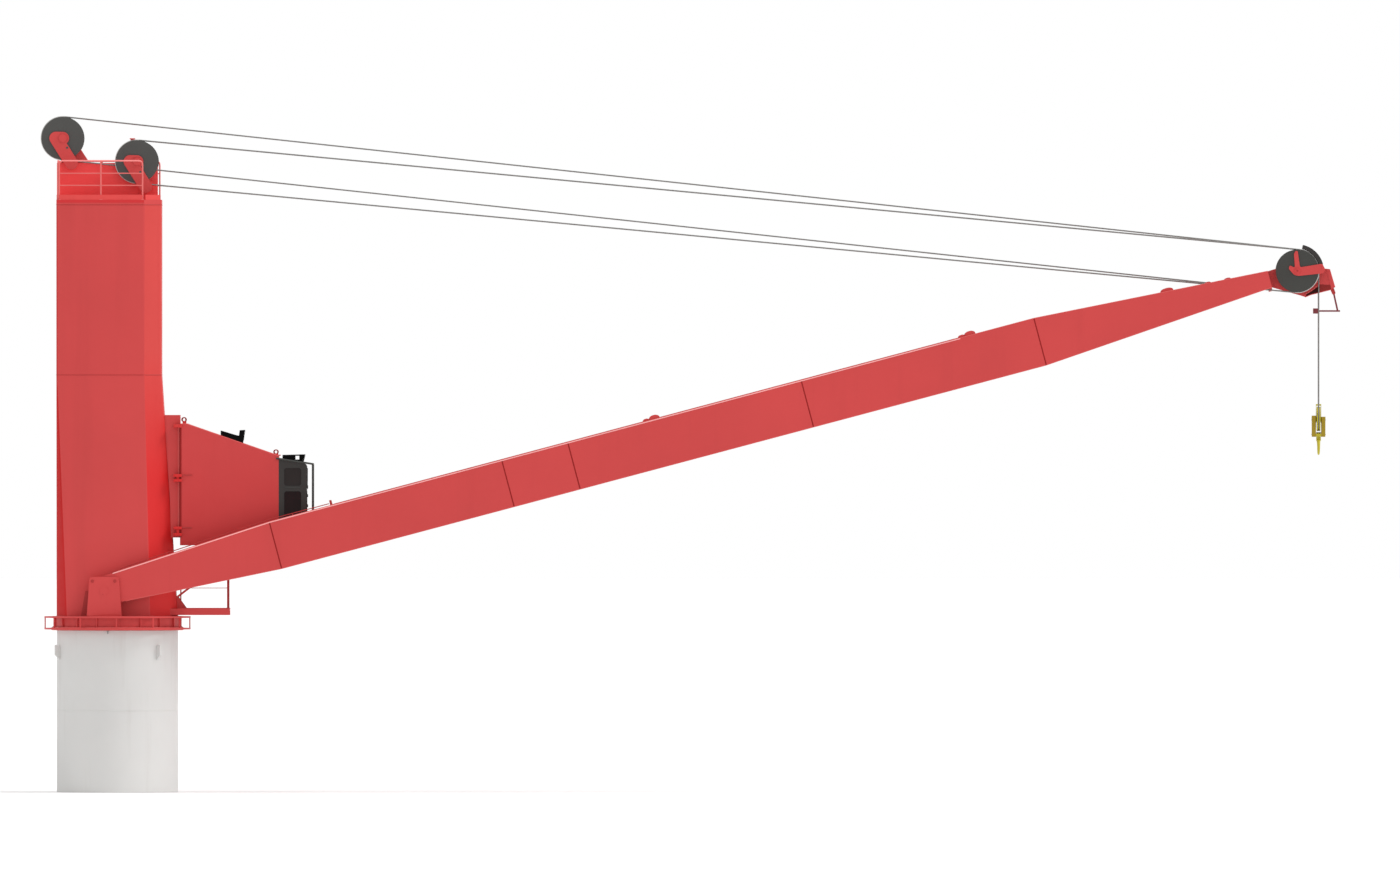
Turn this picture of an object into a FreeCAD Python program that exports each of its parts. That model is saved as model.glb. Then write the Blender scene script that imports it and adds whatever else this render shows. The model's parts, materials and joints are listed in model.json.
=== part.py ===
"""Wire-luffing marine deck crane on a tubular pedestal.

Millimetres. The origin is the centre of the pedestal's bottom face, +Z is up
and +X runs along the jib. The jib is drawn at its rest elevation.
"""
import FreeCAD
import Part
import math
import os

Vec = FreeCAD.Vector

# Pedestal
pedestal_radius = 1500.0
pedestal_height = 4000.0
pedestal_wall = 40.0
pedestal_floor = 40.0
lug_front_angle = 48.0
lug_rear_angle = 161.0
lug_reach = 130.0
lug_height = 370.0
lug_thickness = 60.0
lug_below_top = 360.0

# Slewing base ring, which turns just above the pedestal
slew_gap = 5.0
spigot_clearance = 20.0
spigot_depth = 120.0
ring_flange_overhang = 120.0
ring_flange_thickness = 80.0
ring_wall_inset = 60.0
ring_wall_height = 221.0
ring_plate_thickness = 50.0
gusset_count = 18
gusset_first_angle = 2.0
gusset_thickness = 24.0
hoop_reach = 170.0
hoop_bar = 40.0
hoop_bracket_count = 12
hoop_bracket_thickness = 30.0

# House, a tapered lower part under a plain upper part
house_half_width = 1050.0
house_rear = 1497.0
house_foot_front = 1497.0
house_foot_front_half = 500.0
house_foot_rear_half = 640.0
house_foot_rear_chamfer = 240.0
house_foot_side_front = 814.0
house_top_side_front = 678.0
house_top_front = 1101.0
lower_house_height = 5965.0
upper_house_height = 4207.0

# Roof deck, railings and the box that carries the sheave arms
deck_thickness = 122.0
toe_board_height = 126.0
rail_bar = 40.0
post_lip = 4.0
rail_heights = (358.0, 657.0, 967.0)
rail_inset = 40.0
rail_rear_gap = 60.0
rail_middle_post_from_rear = 1074.0
rail_panel_gap = 50.0
foundation_half_width = 200.0
foundation_height = 918.0
foundation_front_in = 101.0

# Sheaves, all alike
sheave_pitch_radius = 532.0
sheave_thickness = 90.0
sheave_web_thickness = 40.0
sheave_rim_depth = 90.0
sheave_hub_radius = 150.0
sheave_play = 10.0
shaft_radius = 75.0
bearing_clearance = 1.0
wire_diameter = 32.0
groove_clearance = 2.0
groove_depth = 14.0
hoist_line_y = 280.0
luffing_line_y = 430.0
rear_axis_in = 148.0
rear_axis_above_deck = 1530.0
front_axis_behind = 611.0
front_axis_above_deck = 950.0
arm_plate = 25.0
arm_boss_radius = 156.0
arm_half_width = 160.0
arm_heel_back = 172.0
arm_foot_ahead = 214.0
arm_tube_radius = 80.0
rear_arm_lap = 163.0
front_arm_foot_above_deck = 335.0
shaft_end = 20.0

# Jib foot
pivot_x = -309.0
pivot_above_ring = 631.0
jib_rest_angle = 14.9
foot_pin_radius = 110.0
foot_side_play = 20.0
bracket_plate = 50.0
bracket_base_thickness = 25.0
bracket_bottom_half = 430.0
bracket_top_half = 362.0
bracket_top_above_pivot = 344.0
pin_end = 8.0

# Jib, two tapering box legs joined by cross beams
leg_width = 300.0
leg_foot_radius = 355.0
leg_half_depth = 598.0
leg_full_from = 4380.0
leg_full_to = 23940.0
leg_end = 29830.0
leg_end_top = 236.0
leg_end_bottom = 171.0
leg_bend = 10326.0
leg_end_inner = 490.0
main_beam_length = 1688.0
main_beam_half_depth = 500.0
second_beam_at = 17984.0
second_beam_length = 400.0
second_beam_bottom = -400.0
second_beam_top = 300.0
third_beam_length = 400.0
third_beam_bottom = -500.0
third_beam_top = -100.0
end_beam_length = 200.0
end_beam_bottom = 20.0
rope_rest_places = (14133.0, 22213.0, 27300.0)
rope_rest_length = 340.0
rope_rest_height = 90.0
rope_rest_width = 160.0

# Jib head
head_s = 30544.0
head_n = 56.0
head_plate = 30.0
head_hub_rise = 220.0
nose_half_width = 200.0
nose_top_rear = (668.0, 50.0)
nose_top_front = (804.0, 40.0)
nose_front_bottom = (931.0, -396.0)
nose_toe = (841.0, -458.0)
nose_keel = (334.0, -587.0)
nose_heel = (198.0, -644.0)
nose_back = (64.0, -600.0)
guard_plate = 20.0
guard_hub_radius = 120.0
guard_rear_tip = (-200.0, 80.0)
guard_rear_radius = 75.0
guard_upper_tip = (-30.0, 440.0)
guard_upper_radius = 55.0
guard_front_tip = (650.0, 70.0)
guard_front_radius = 110.0
guard_bar = (700.0, 0.0)
guard_bar_radius = 40.0
rope_guard_gap = 12.0
rope_guard_depth = 98.0
rope_guard_from = 14.0
rope_guard_to = 77.0
socket_half_width = 50.0
socket_length = 90.0
socket_depth = 60.0

# Limit lever under the nose
lever_pivot_x = 905.0
lever_pivot_z = -540.0
lever_root_x = 860.0
lever_root_z = -420.0
lever_half_width = 30.0
lever_pin_radius = 20.0
lever_eye_radius = 45.0
lever_drop = 450.0
lever_bar_depth = 40.0
lever_bar_rear = 509.0
lever_bar_front = 159.0
lever_rod_foot = 100.0
lever_rod_half = 22.0
lever_weight_size = 130.0
lever_lug_play = 5.0
lever_lug_thickness = 25.0

# Hook block
block_drop = 3665.0
block_sheave_thickness = 90.0
block_rim_lip = 20.0
block_shaft_radius = 50.0
strap_play = 8.0
strap_thickness = 12.0
strap_half_width = 60.0
strap_above_rim = 30.0
strap_cap = 40.0
cheek_thickness = 100.0
cheek_above_shaft = 86.0
cheek_below_shaft = 440.0
cheek_top_half = 230.0
cheek_bottom_half = 130.0
crosshead_height = 80.0
crosshead_below_sheave = 60.0
shank_radius = 45.0
shank_nut_height = 35.0
shank_nut_radius = 60.0
hook_gap = 6.0
hook_throat_radius = 105.0
hook_bar_radius = 55.0
hook_below_shaft = 894.0
hook_arc_from = 110.0
hook_arc_turn = 270.0

# Cab in front of the house
cab_above_ring = 1754.0
cab_stand_off = 60.0
cab_length = 2440.0
cab_ridge_length = 163.0
cab_height = 2998.0
cab_front_height = 2206.0
cab_front_length = 693.0
cab_nose_drop = 140.0
cab_nose_rounding = 80.0
cab_half_width = 750.0
cab_wall = 60.0
cab_mount_half_width = 600.0
cab_mount_above_floor = 190.0
cab_mount_above_ridge = 223.0
window_frame = 130.0
window_head = 290.0
window_bar = 124.0
window_sill = 250.0
window_split = 1402.0
glass_thickness = 12.0
cab_rail_bar = 44.0
cab_rail_reach = 148.0
cab_rail_drop = 198.0
cab_rail_start_in = 45.0
cab_rail_start_drop = 60.0
cab_rail_heel = 70.0
cab_rail_foot_height = 390.0
cab_rail_stand_off = 60.0

# Service platform low on the front of the house
platform_reach = 1287.0
platform_half_width = 650.0
platform_above_ring = 186.0
platform_thickness = 60.0
platform_beam_depth = 100.0
platform_beam_width = 80.0
platform_rail_heights = (507.0, 1014.0)
platform_gusset_length = 223.0
platform_gusset_height = 309.0
platform_gusset_thickness = 20.0
platform_gusset_y = 440.0
platform_rail_bar = 28.0

os.makedirs("parts", exist_ok=True)


# Shape helpers
def box(x0, x1, y0, y1, z0, z1):
    return Part.makeBox(x1 - x0, y1 - y0, z1 - z0, Vec(x0, y0, z0))


def face_of(points):
    return Part.Face(Part.makePolygon(list(points) + [points[0]]))


def prism_xz(points, y0, y1):
    outline = face_of([Vec(x, y0, z) for x, z in points])
    return outline.extrude(Vec(0, y1 - y0, 0))


def prism_yz(points, x0, x1):
    outline = face_of([Vec(x0, y, z) for y, z in points])
    return outline.extrude(Vec(x1 - x0, 0, 0))


def prism_xy(points, z0, z1):
    outline = face_of([Vec(x, y, z0) for x, y in points])
    return outline.extrude(Vec(0, 0, z1 - z0))


def cylinder_x(radius, x0, x1, y, z):
    return Part.makeCylinder(radius, x1 - x0, Vec(x0, y, z), Vec(1, 0, 0))


def cylinder_y(radius, y0, y1, x, z):
    return Part.makeCylinder(radius, y1 - y0, Vec(x, y0, z), Vec(0, 1, 0))


def cylinder_z(radius, z0, z1, x=0.0, y=0.0):
    return Part.makeCylinder(radius, z1 - z0, Vec(x, y, z0))


def bar(start, end, radius):
    run = end - start
    return Part.makeCylinder(radius, run.Length, start, run)


def bar_chain(points, radius):
    """Round bars from point to point, with a ball at each inner bend."""
    pieces = [bar(a, b, radius) for a, b in zip(points, points[1:])]
    balls = [Part.makeSphere(radius, p) for p in points[1:-1]]
    return fuse(pieces + balls)


def fuse(shapes):
    joined = shapes[0]
    if len(shapes) > 1:
        joined = shapes[0].multiFuse(shapes[1:])
    return joined.removeSplitter()


def mirrored(shape):
    return shape.mirror(Vec(0, 0, 0), Vec(0, 1, 0))


def both_sides(shapes):
    return list(shapes) + [mirrored(shape) for shape in shapes]


def turned_z(shape, angle):
    copy = shape.copy()
    copy.rotate(Vec(0, 0, 0), Vec(0, 0, 1), angle)
    return copy


def solids_of(shapes):
    return [solid for shape in shapes for solid in shape.Solids]


def save(name, shapes):
    solids = solids_of(shapes)
    shape = solids[0] if len(solids) == 1 else Part.makeCompound(solids)
    shape.exportStep("parts/" + name + ".step")


# Levels and radii that follow from the driving sizes
ring_bottom = pedestal_height + slew_gap
ring_wall_bottom = ring_bottom + ring_flange_thickness
ring_plate_bottom = ring_wall_bottom + ring_wall_height
ring_top = ring_plate_bottom + ring_plate_thickness
ring_radius = pedestal_radius + ring_flange_overhang
ring_wall_radius = ring_radius - ring_wall_inset
hoop_radius = ring_radius + hoop_reach
upper_house_bottom = ring_top + lower_house_height
roof_bottom = upper_house_bottom + upper_house_height
deck_top = roof_bottom + deck_thickness
front_chamfer_slope = ((house_half_width - house_foot_front_half)
                       / (house_foot_front - house_foot_side_front))
house_top_front_half = (house_half_width
                        - (house_top_front - house_top_side_front) * front_chamfer_slope)
wire_radius = wire_diameter / 2
groove_half = wire_radius + groove_clearance
sheave_groove_floor = sheave_pitch_radius - groove_half
sheave_rim_radius = sheave_groove_floor + groove_depth
pivot_z = ring_top + pivot_above_ring
foundation_front = house_top_front - foundation_front_in
rear_axis = Vec(-house_rear + rear_axis_in, 0, deck_top + rear_axis_above_deck)
front_axis = Vec(house_top_front - front_axis_behind, 0, deck_top + front_axis_above_deck)
foundation_top = deck_top + foundation_height
rear_arm_foot = Vec(rear_axis.x + arm_foot_ahead, 0, foundation_top - rear_arm_lap + arm_half_width)
front_arm_foot = Vec(front_axis.x + arm_foot_ahead, 0, deck_top + front_arm_foot_above_deck)
cab_bottom = ring_top + cab_above_ring
cab_ridge_z = cab_bottom + cab_height
cab_front_top = cab_bottom + cab_front_height
cab_rear_x = house_foot_front + cab_stand_off
cab_front_x = cab_rear_x + cab_length
cab_nose_x = cab_front_x + cab_front_length
platform_top = ring_top + platform_above_ring
platform_front = house_foot_front + platform_reach


def outer_arm_face(line_y):
    return line_y + sheave_thickness / 2 + sheave_play + arm_plate


# Pedestal
def make_pedestal():
    tube = cylinder_z(pedestal_radius, 0, pedestal_height)
    inside = cylinder_z(pedestal_radius - pedestal_wall, pedestal_floor, pedestal_height)
    save("pedestal", [tube.cut(inside)])
    top = pedestal_height - lug_below_top
    reach = pedestal_radius + lug_reach
    outline = [(0, top - lug_height), (pedestal_radius, top - lug_height),
               (reach, top - lug_height + lug_reach), (reach, top), (0, top)]
    lug = prism_xz(outline, -lug_thickness / 2, lug_thickness / 2)
    lug = lug.cut(cylinder_z(pedestal_radius, 0, pedestal_height))
    save("pedestal_lugs", both_sides([turned_z(lug, angle) for angle in (lug_front_angle, lug_rear_angle)]))


# Base ring with its gussets and the guard hoop around it
def make_base_ring():
    spigot_radius = pedestal_radius - pedestal_wall - spigot_clearance
    ring = fuse([
        cylinder_z(spigot_radius, ring_bottom - spigot_depth, ring_bottom),
        cylinder_z(ring_radius, ring_bottom, ring_wall_bottom),
        cylinder_z(ring_wall_radius, ring_wall_bottom, ring_plate_bottom),
        cylinder_z(ring_radius, ring_plate_bottom, ring_top),
    ])
    save("base_ring", [ring])
    gusset = box(0, ring_radius - ring_wall_inset / 4, -gusset_thickness / 2, gusset_thickness / 2,
                 ring_wall_bottom, ring_plate_bottom)
    gusset = gusset.cut(cylinder_z(ring_wall_radius, ring_wall_bottom, ring_plate_bottom))
    step = 360.0 / gusset_count
    angles = [gusset_first_angle - 90 + i * step for i in range(gusset_count)]
    save("ring_gussets", [turned_z(gusset, angle) for angle in angles])


def make_guard_hoop():
    levels = (ring_bottom + ring_flange_thickness / 2, ring_top - ring_plate_thickness / 2)
    hoops = [cylinder_z(hoop_radius + hoop_bar / 2, z - hoop_bar / 2, z + hoop_bar / 2).cut(
        cylinder_z(hoop_radius - hoop_bar / 2, z - hoop_bar / 2, z + hoop_bar / 2)) for z in levels]
    half = hoop_bracket_thickness / 2
    arms = [box(0, hoop_radius, -half, half, z - half, z + half) for z in levels]
    post = box(hoop_radius - half, hoop_radius + half, -half, half, levels[0], levels[1])
    core = cylinder_z(ring_radius, ring_bottom, ring_top)
    bracket = fuse([arm.cut(core) for arm in arms] + [post])
    step = 360.0 / hoop_bracket_count
    brackets = [turned_z(bracket, i * step) for i in range(hoop_bracket_count)]
    save("guard_hoop", [fuse(hoops + brackets)])


# House
def roof_outline(inset=0.0):
    """Plan of the upper house, with every side moved in by the inset."""
    turn = math.atan(front_chamfer_slope)
    side = house_half_width - inset
    points = [(-house_rear + inset, side),
              (house_top_side_front - inset * math.tan(turn / 2), side),
              (house_top_front - inset, house_top_front_half - inset * math.tan(math.pi / 4 - turn / 2))]
    return points + [(x, -y) for x, y in reversed(points)]


def lower_house_solid():
    low, high = ring_top, upper_house_bottom

    def foot(x, y):
        return Vec(x, y, low)

    def top(x, y):
        return Vec(x, y, high)

    chamfer_x = -house_rear + house_foot_rear_chamfer
    faces = [
        [top(x, y) for x, y in roof_outline()],
        [foot(-house_rear, house_foot_rear_half), foot(-house_rear, -house_foot_rear_half),
         foot(chamfer_x, -house_half_width), foot(house_foot_side_front, -house_half_width),
         foot(house_foot_front, -house_foot_front_half), foot(house_foot_front, house_foot_front_half),
         foot(house_foot_side_front, house_half_width), foot(chamfer_x, house_half_width)],
        [foot(-house_rear, house_foot_rear_half), foot(-house_rear, -house_foot_rear_half),
         top(-house_rear, -house_half_width), top(-house_rear, house_half_width)],
        [foot(house_foot_front, -house_foot_front_half), foot(house_foot_front, house_foot_front_half),
         top(house_top_front, house_top_front_half), top(house_top_front, -house_top_front_half)],
    ]
    for side in (1, -1):
        half = side * house_half_width
        faces.append([foot(-house_rear, side * house_foot_rear_half), foot(chamfer_x, half),
                      top(-house_rear, half)])
        faces.append([foot(chamfer_x, half), foot(house_foot_side_front, half),
                      top(house_top_side_front, half), top(-house_rear, half)])
        faces.append([foot(house_foot_side_front, half),
                      foot(house_foot_front, side * house_foot_front_half),
                      top(house_top_front, side * house_top_front_half),
                      top(house_top_side_front, half)])
    shell = Part.makeShell([face_of(points) for points in faces])
    solid = Part.makeSolid(shell)
    if solid.Volume < 0:
        solid.reverse()
    return solid


def make_house():
    save("lower_house", [lower_house_solid()])
    save("upper_house", [prism_xy(roof_outline(), upper_house_bottom, roof_bottom)])
    save("roof_deck", [prism_xy(roof_outline(), roof_bottom, deck_top)])
    save("sheave_foundation", [box(-house_rear, foundation_front, -foundation_half_width,
                                   foundation_half_width, deck_top, foundation_top)])


def rail_panel(start, end, base, heights, bar_size, more_posts=()):
    """Rails between two slightly thicker end posts, which stand in from the panel's corners."""
    run = (end - start).normalize() * rail_panel_gap
    start, end = start + run, end - run
    rails = [bar(start + Vec(0, 0, base + height), end + Vec(0, 0, base + height), bar_size / 2)
             for height in heights]
    top = base + heights[-1] + bar_size / 2 + post_lip
    places = [start, end] + list(more_posts)
    posts = [cylinder_z(bar_size / 2 + post_lip, base, top, place.x, place.y) for place in places]
    return fuse(posts + rails)


def toe_board(start, end):
    """A board from a panel's posts out to the edge of the deck."""
    run = (end - start).normalize()
    out = Vec(-run.y, run.x, 0)
    start, end = start + run * rail_panel_gap, end - run * rail_panel_gap
    near, far = out * (rail_bar / 2), out * rail_inset
    corners = [start + near, end + near, end + far, start + far]
    return prism_xy([(corner.x, corner.y) for corner in corners], deck_top, deck_top + toe_board_height)


def make_roof_railing():
    """Rail panels with toe boards round the deck's edge; the right front corner has its toe board alone."""
    corners = [Vec(x, y, 0) for x, y in roof_outline(rail_inset)[:3]]
    rear_end = Vec(corners[0].x, outer_arm_face(hoist_line_y) + rail_rear_gap, 0)
    middle = Vec(-house_rear + rail_middle_post_from_rear, corners[0].y, 0)
    panels = []
    for start, end, more_posts in ((rear_end, corners[0], []), (corners[0], corners[1], [middle]),
                                   (corners[1], corners[2], [])):
        rails = rail_panel(start, end, deck_top, rail_heights, rail_bar, more_posts)
        panels.append(fuse([rails, toe_board(start, end)]))
    save("left_roof_railing", panels)
    right_panels = panels[:2] + [toe_board(corners[1], corners[2])]
    save("right_roof_railing", [mirrored(panel) for panel in right_panels])


# Sheaves on their arms above the roof
def sheave(axis, line_y):
    """A grooved sheave with a thin web, spun about its axis along Y."""
    half = sheave_thickness / 2
    web = sheave_web_thickness / 2
    bore = shaft_radius + bearing_clearance
    rim_inner = sheave_groove_floor - sheave_rim_depth
    profile = [(bore, -half), (sheave_hub_radius, -half), (sheave_hub_radius, -web), (rim_inner, -web),
               (rim_inner, -half), (sheave_rim_radius, -half), (sheave_rim_radius, -groove_half),
               (sheave_groove_floor, -groove_half), (sheave_groove_floor, groove_half),
               (sheave_rim_radius, groove_half),
               (sheave_rim_radius, half), (rim_inner, half), (rim_inner, web), (sheave_hub_radius, web),
               (sheave_hub_radius, half), (bore, half)]
    outline = face_of([axis + Vec(r, y + line_y, 0) for r, y in profile])
    return outline.revolve(axis, Vec(0, 1, 0), 360)


def link_plate(x0, z0, r0, x1, z1, r1, y0, y1):
    """A plate with two round ends, joined by its outer tangents."""
    run = Vec(x1 - x0, 0, z1 - z0)
    base = math.atan2(run.z, run.x)
    lean = math.acos((r0 - r1) / run.Length)
    corners = []
    for x, z, r, signs in ((x0, z0, r0, (1, -1)), (x1, z1, r1, (-1, 1))):
        for sign in signs:
            angle = base + sign * lean
            corners.append((x + r * math.cos(angle), z + r * math.sin(angle)))
    return fuse([prism_xz(corners, y0, y1), cylinder_y(r0, y0, y1, x0, z0), cylinder_y(r1, y0, y1, x1, z1)])


def make_sheave_arms(name, axis, foot, line_y):
    """Two bent arm plates each side of a sheave, with a cross tube at their feet and a stub shaft."""
    outer = outer_arm_face(line_y)
    inner = 2 * line_y - outer
    core = box(-house_rear, foundation_front, -foundation_half_width, foundation_half_width,
               deck_top, foundation_top)
    heel_x = axis.x - arm_heel_back
    plates = []
    for y0 in (inner, outer - arm_plate):
        y1 = y0 + arm_plate
        plates.append(link_plate(heel_x, axis.z, arm_half_width, axis.x, axis.z, arm_boss_radius, y0, y1))
        plates.append(link_plate(heel_x, axis.z, arm_half_width, foot.x, foot.z, arm_half_width, y0, y1))
    tube = cylinder_y(arm_tube_radius, foundation_half_width, outer,
                      foot.x, foot.z - arm_half_width + arm_tube_radius)
    shaft = cylinder_y(shaft_radius, inner, outer + shaft_end, axis.x, axis.z)
    arm = fuse(plates + [tube, shaft]).cut(core)
    save(name + "_sheave_arms", both_sides([arm]))


# Where the jib's points come to lie at rest
rest_turn = FreeCAD.Rotation(Vec(0, 1, 0), -jib_rest_angle)
pivot = Vec(pivot_x, 0, pivot_z)


def jib_point(s, y, n):
    return pivot + rest_turn.multVec(Vec(s, y, n))


def at_rest(shape):
    placed = shape.copy()
    placed.rotate(Vec(0, 0, 0), Vec(0, 1, 0), -jib_rest_angle)
    placed.translate(pivot)
    return placed


head_axis = jib_point(head_s, 0, head_n)


# Wires
def wire_wrap(axis, start, turn, line_y):
    """The wire lying in a sheave's groove, from a tangent point round by a turn in degrees."""
    middle = Vec(axis.x, line_y, axis.z)
    tangent = (start - middle).cross(Vec(0, 1, 0))
    ring = Part.Wire(Part.makeCircle(wire_radius, start, tangent))
    return Part.Face(ring).revolve(middle, Vec(0, 1, 0), turn)


def tangent_points(axis_a, axis_b, line_y, side):
    """Ends of the straight run between two sheaves, over (side 1) or under (side -1) both."""
    run = (axis_b - axis_a).normalize()
    lift = Vec(-run.z, 0, run.x) * sheave_pitch_radius * side
    return [axis + Vec(0, line_y, 0) + lift for axis in (axis_a, axis_b)]


def make_wires():
    house_wraps = []
    head_wraps = []
    upper_hoist = tangent_points(rear_axis, head_axis, hoist_line_y, 1)
    lower_hoist = tangent_points(rear_axis, head_axis, hoist_line_y, -1)
    upper_luffing = tangent_points(front_axis, head_axis, luffing_line_y, 1)
    lower_luffing = tangent_points(front_axis, head_axis, luffing_line_y, -1)
    head_slope = math.degrees(math.atan2(upper_hoist[1].x - head_axis.x, upper_hoist[1].z - head_axis.z))
    house_wraps.append(wire_wrap(rear_axis, upper_hoist[0], -180, hoist_line_y))
    house_wraps.append(wire_wrap(front_axis, upper_luffing[0], -180, luffing_line_y))
    head_wraps.append(wire_wrap(head_axis, upper_hoist[1], 90 - head_slope, hoist_line_y))
    head_wraps.append(wire_wrap(head_axis, upper_luffing[1], 180, luffing_line_y))
    save("house_wire_wraps", both_sides(house_wraps))
    save("head_wire_wraps", both_sides(head_wraps))
    lower_run = straight_wire(lower_hoist[0], socket_start(*lower_hoist), wire_radius)
    save("hoist_wires", both_sides([straight_wire(*upper_hoist), lower_run]))
    save("luffing_wires", both_sides([straight_wire(*upper_luffing), straight_wire(*lower_luffing)]))


def straight_wire(start, end, short=bearing_clearance):
    """A run that stops just short of the piece on the jib."""
    run = (end - start).normalize()
    return bar(start, end - run * short, wire_radius)


def socket_start(start, end):
    """Where the lower hoist wire meets the rear face of its socket on the end beam."""
    rear = jib_point(leg_end - socket_length, 0, 0)
    along = jib_point(1, 0, 0) - jib_point(0, 0, 0)
    run = end - start
    share = (rear - start).dot(along) / run.dot(along)
    return start + run * share


# Jib foot brackets beside the house
leg_foot_inner = house_half_width + bracket_plate + foot_side_play
leg_foot_outer = leg_foot_inner + leg_width
bracket_outer = leg_foot_outer + foot_side_play + bracket_plate


def make_foot_brackets():
    base_top = ring_top + bracket_base_thickness
    top = pivot_z + bracket_top_above_pivot
    ear = [(pivot_x - bracket_bottom_half, base_top), (pivot_x + bracket_bottom_half, base_top),
           (pivot_x + bracket_top_half, top), (pivot_x - bracket_top_half, top)]
    base = box(pivot_x - bracket_bottom_half, pivot_x + bracket_bottom_half,
               house_half_width, bracket_outer, ring_top, base_top)
    ears = [prism_xz(ear, y, y + bracket_plate) for y in (house_half_width, bracket_outer - bracket_plate)]
    pin = cylinder_y(foot_pin_radius, house_half_width, bracket_outer + pin_end, pivot_x, pivot_z)
    left = fuse([base] + ears).cut(pin)
    save("foot_brackets", both_sides([left]))
    save("foot_pins", both_sides([pin]))


# Jib legs and beams, drawn level about the pivot and then turned to the rest elevation
def leg_inner_at(s):
    share = max(0.0, (s - leg_bend) / (leg_end - leg_bend))
    return leg_foot_inner + share * (leg_end_inner - leg_foot_inner)


def make_jib_legs():
    tall = 2 * leg_half_depth
    profile = [(0, leg_foot_radius), (leg_full_from, leg_half_depth), (leg_full_to, leg_half_depth),
               (leg_end, leg_end_top), (leg_end, -leg_end_bottom), (leg_full_to, -leg_half_depth),
               (leg_full_from, -leg_half_depth), (0, -leg_foot_radius)]
    side = fuse([prism_xz(profile, 0, leg_foot_outer),
                 cylinder_y(leg_foot_radius, 0, leg_foot_outer, 0, 0)])
    stations = [-2 * leg_foot_radius, leg_bend, leg_end]
    inner = [(s, leg_inner_at(s)) for s in stations]
    plan = prism_xy(inner + [(s, y + leg_width) for s, y in reversed(inner)], -tall, tall)
    bore = cylinder_y(foot_pin_radius + bearing_clearance, 0, leg_foot_outer, 0, 0)
    left = at_rest(side.common(plan).cut(bore))
    save("left_jib_leg", [left])
    save("right_jib_leg", [mirrored(left)])


def cross_beam(start, end, bottom, top):
    half = [(s, leg_inner_at(s)) for s in (start, end)]
    return at_rest(prism_xy(half + [(s, -y) for s, y in reversed(half)], bottom, top))


def make_cross_beams():
    save("main_cross_beam", [cross_beam(leg_bend, leg_bend + main_beam_length,
                                        -main_beam_half_depth, main_beam_half_depth)])
    half = second_beam_length / 2
    second = cross_beam(second_beam_at - half, second_beam_at + half, second_beam_bottom, second_beam_top)
    half = third_beam_length / 2
    third = cross_beam(leg_full_to - half, leg_full_to + half, third_beam_bottom, third_beam_top)
    save("upper_cross_beams", [second, third])
    save("end_cross_beam", [cross_beam(leg_end - end_beam_length, leg_end, end_beam_bottom, leg_end_top)])


def leg_top_at(s):
    share = max(0.0, (s - leg_full_to) / (leg_end - leg_full_to))
    return leg_half_depth + share * (leg_end_top - leg_half_depth)


def make_rope_rests():
    """Low humps on the top of each leg, that a slack wire can lie on."""
    rests = []
    for s in rope_rest_places:
        ends = (s - rope_rest_length / 2, s + rope_rest_length / 2)
        foot = [(end, leg_top_at(end)) for end in ends]
        crown = [(s + side * rope_rest_length / 4, leg_top_at(s) + rope_rest_height) for side in (1, -1)]
        middle = leg_inner_at(s) + leg_width / 2
        rests.append(at_rest(prism_xz(foot + crown, middle - rope_rest_width / 2,
                                      middle + rope_rest_width / 2)))
    save("rope_rests", both_sides(rests))


# Jib head, placed by offsets from the head sheaves' axis
def head_offset(points):
    return [(head_axis.x + x, head_axis.z + z) for x, z in points]


nose_outline = [nose_top_rear, nose_top_front, nose_front_bottom, nose_toe, nose_keel, nose_heel, nose_back]
guard_face = luffing_line_y + sheave_thickness / 2 + sheave_play


def nose_solid():
    half = nose_half_width - head_plate
    return prism_xz(head_offset(nose_outline), -half, half)


def head_shaft_solid():
    end = guard_face + guard_plate + shaft_end
    return cylinder_y(shaft_radius, -end, end, head_axis.x, head_axis.z)


def make_head_plates():
    root = [jib_point(leg_end, 0, n) for n in (-leg_end_bottom, leg_end_top)]
    outline = [(point.x, point.z) for point in root]
    outline += head_offset([(0.0, head_hub_rise)] + nose_outline)
    plate = prism_xz(outline, nose_half_width - head_plate, nose_half_width)
    save("head_plates", both_sides([plate.cut(head_shaft_solid())]))
    save("head_nose", [nose_solid()])
    save("head_shaft", [head_shaft_solid()])


def make_head_guards():
    x, z = head_axis.x, head_axis.z
    far = guard_face + guard_plate
    tips = ((guard_rear_tip, guard_rear_radius), (guard_upper_tip, guard_upper_radius),
            (guard_front_tip, guard_front_radius))
    arms = [link_plate(x, z, guard_hub_radius, x + tip[0], z + tip[1], radius, guard_face, far)
            for tip, radius in tips]
    tie = cylinder_y(guard_bar_radius, nose_half_width, guard_face, x + guard_bar[0], z + guard_bar[1])
    save("head_guard_plates", both_sides([fuse(arms + [tie]).cut(head_shaft_solid())]))
    inner = sheave_pitch_radius + wire_radius + rope_guard_gap
    near = hoist_line_y - sheave_thickness / 2
    strip = face_of([Vec(x + r, y, z) for r, y in ((inner, near), (inner + rope_guard_depth, near),
                                                   (inner + rope_guard_depth, guard_face),
                                                   (inner, guard_face))])
    strip.rotate(Vec(x, 0, z), Vec(0, 1, 0), -rope_guard_from)
    guard = strip.revolve(Vec(x, 0, z), Vec(0, 1, 0), rope_guard_from - rope_guard_to)
    save("rope_guards", both_sides([guard]))


def make_wire_sockets():
    lower = tangent_points(rear_axis, head_axis, hoist_line_y, -1)
    local = rest_turn.inverted().multVec(socket_start(*lower) - pivot)
    socket = box(leg_end - socket_length, leg_end, hoist_line_y - socket_half_width,
                 hoist_line_y + socket_half_width, local.z - socket_depth, end_beam_bottom)
    save("wire_sockets", both_sides([at_rest(socket)]))


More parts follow.
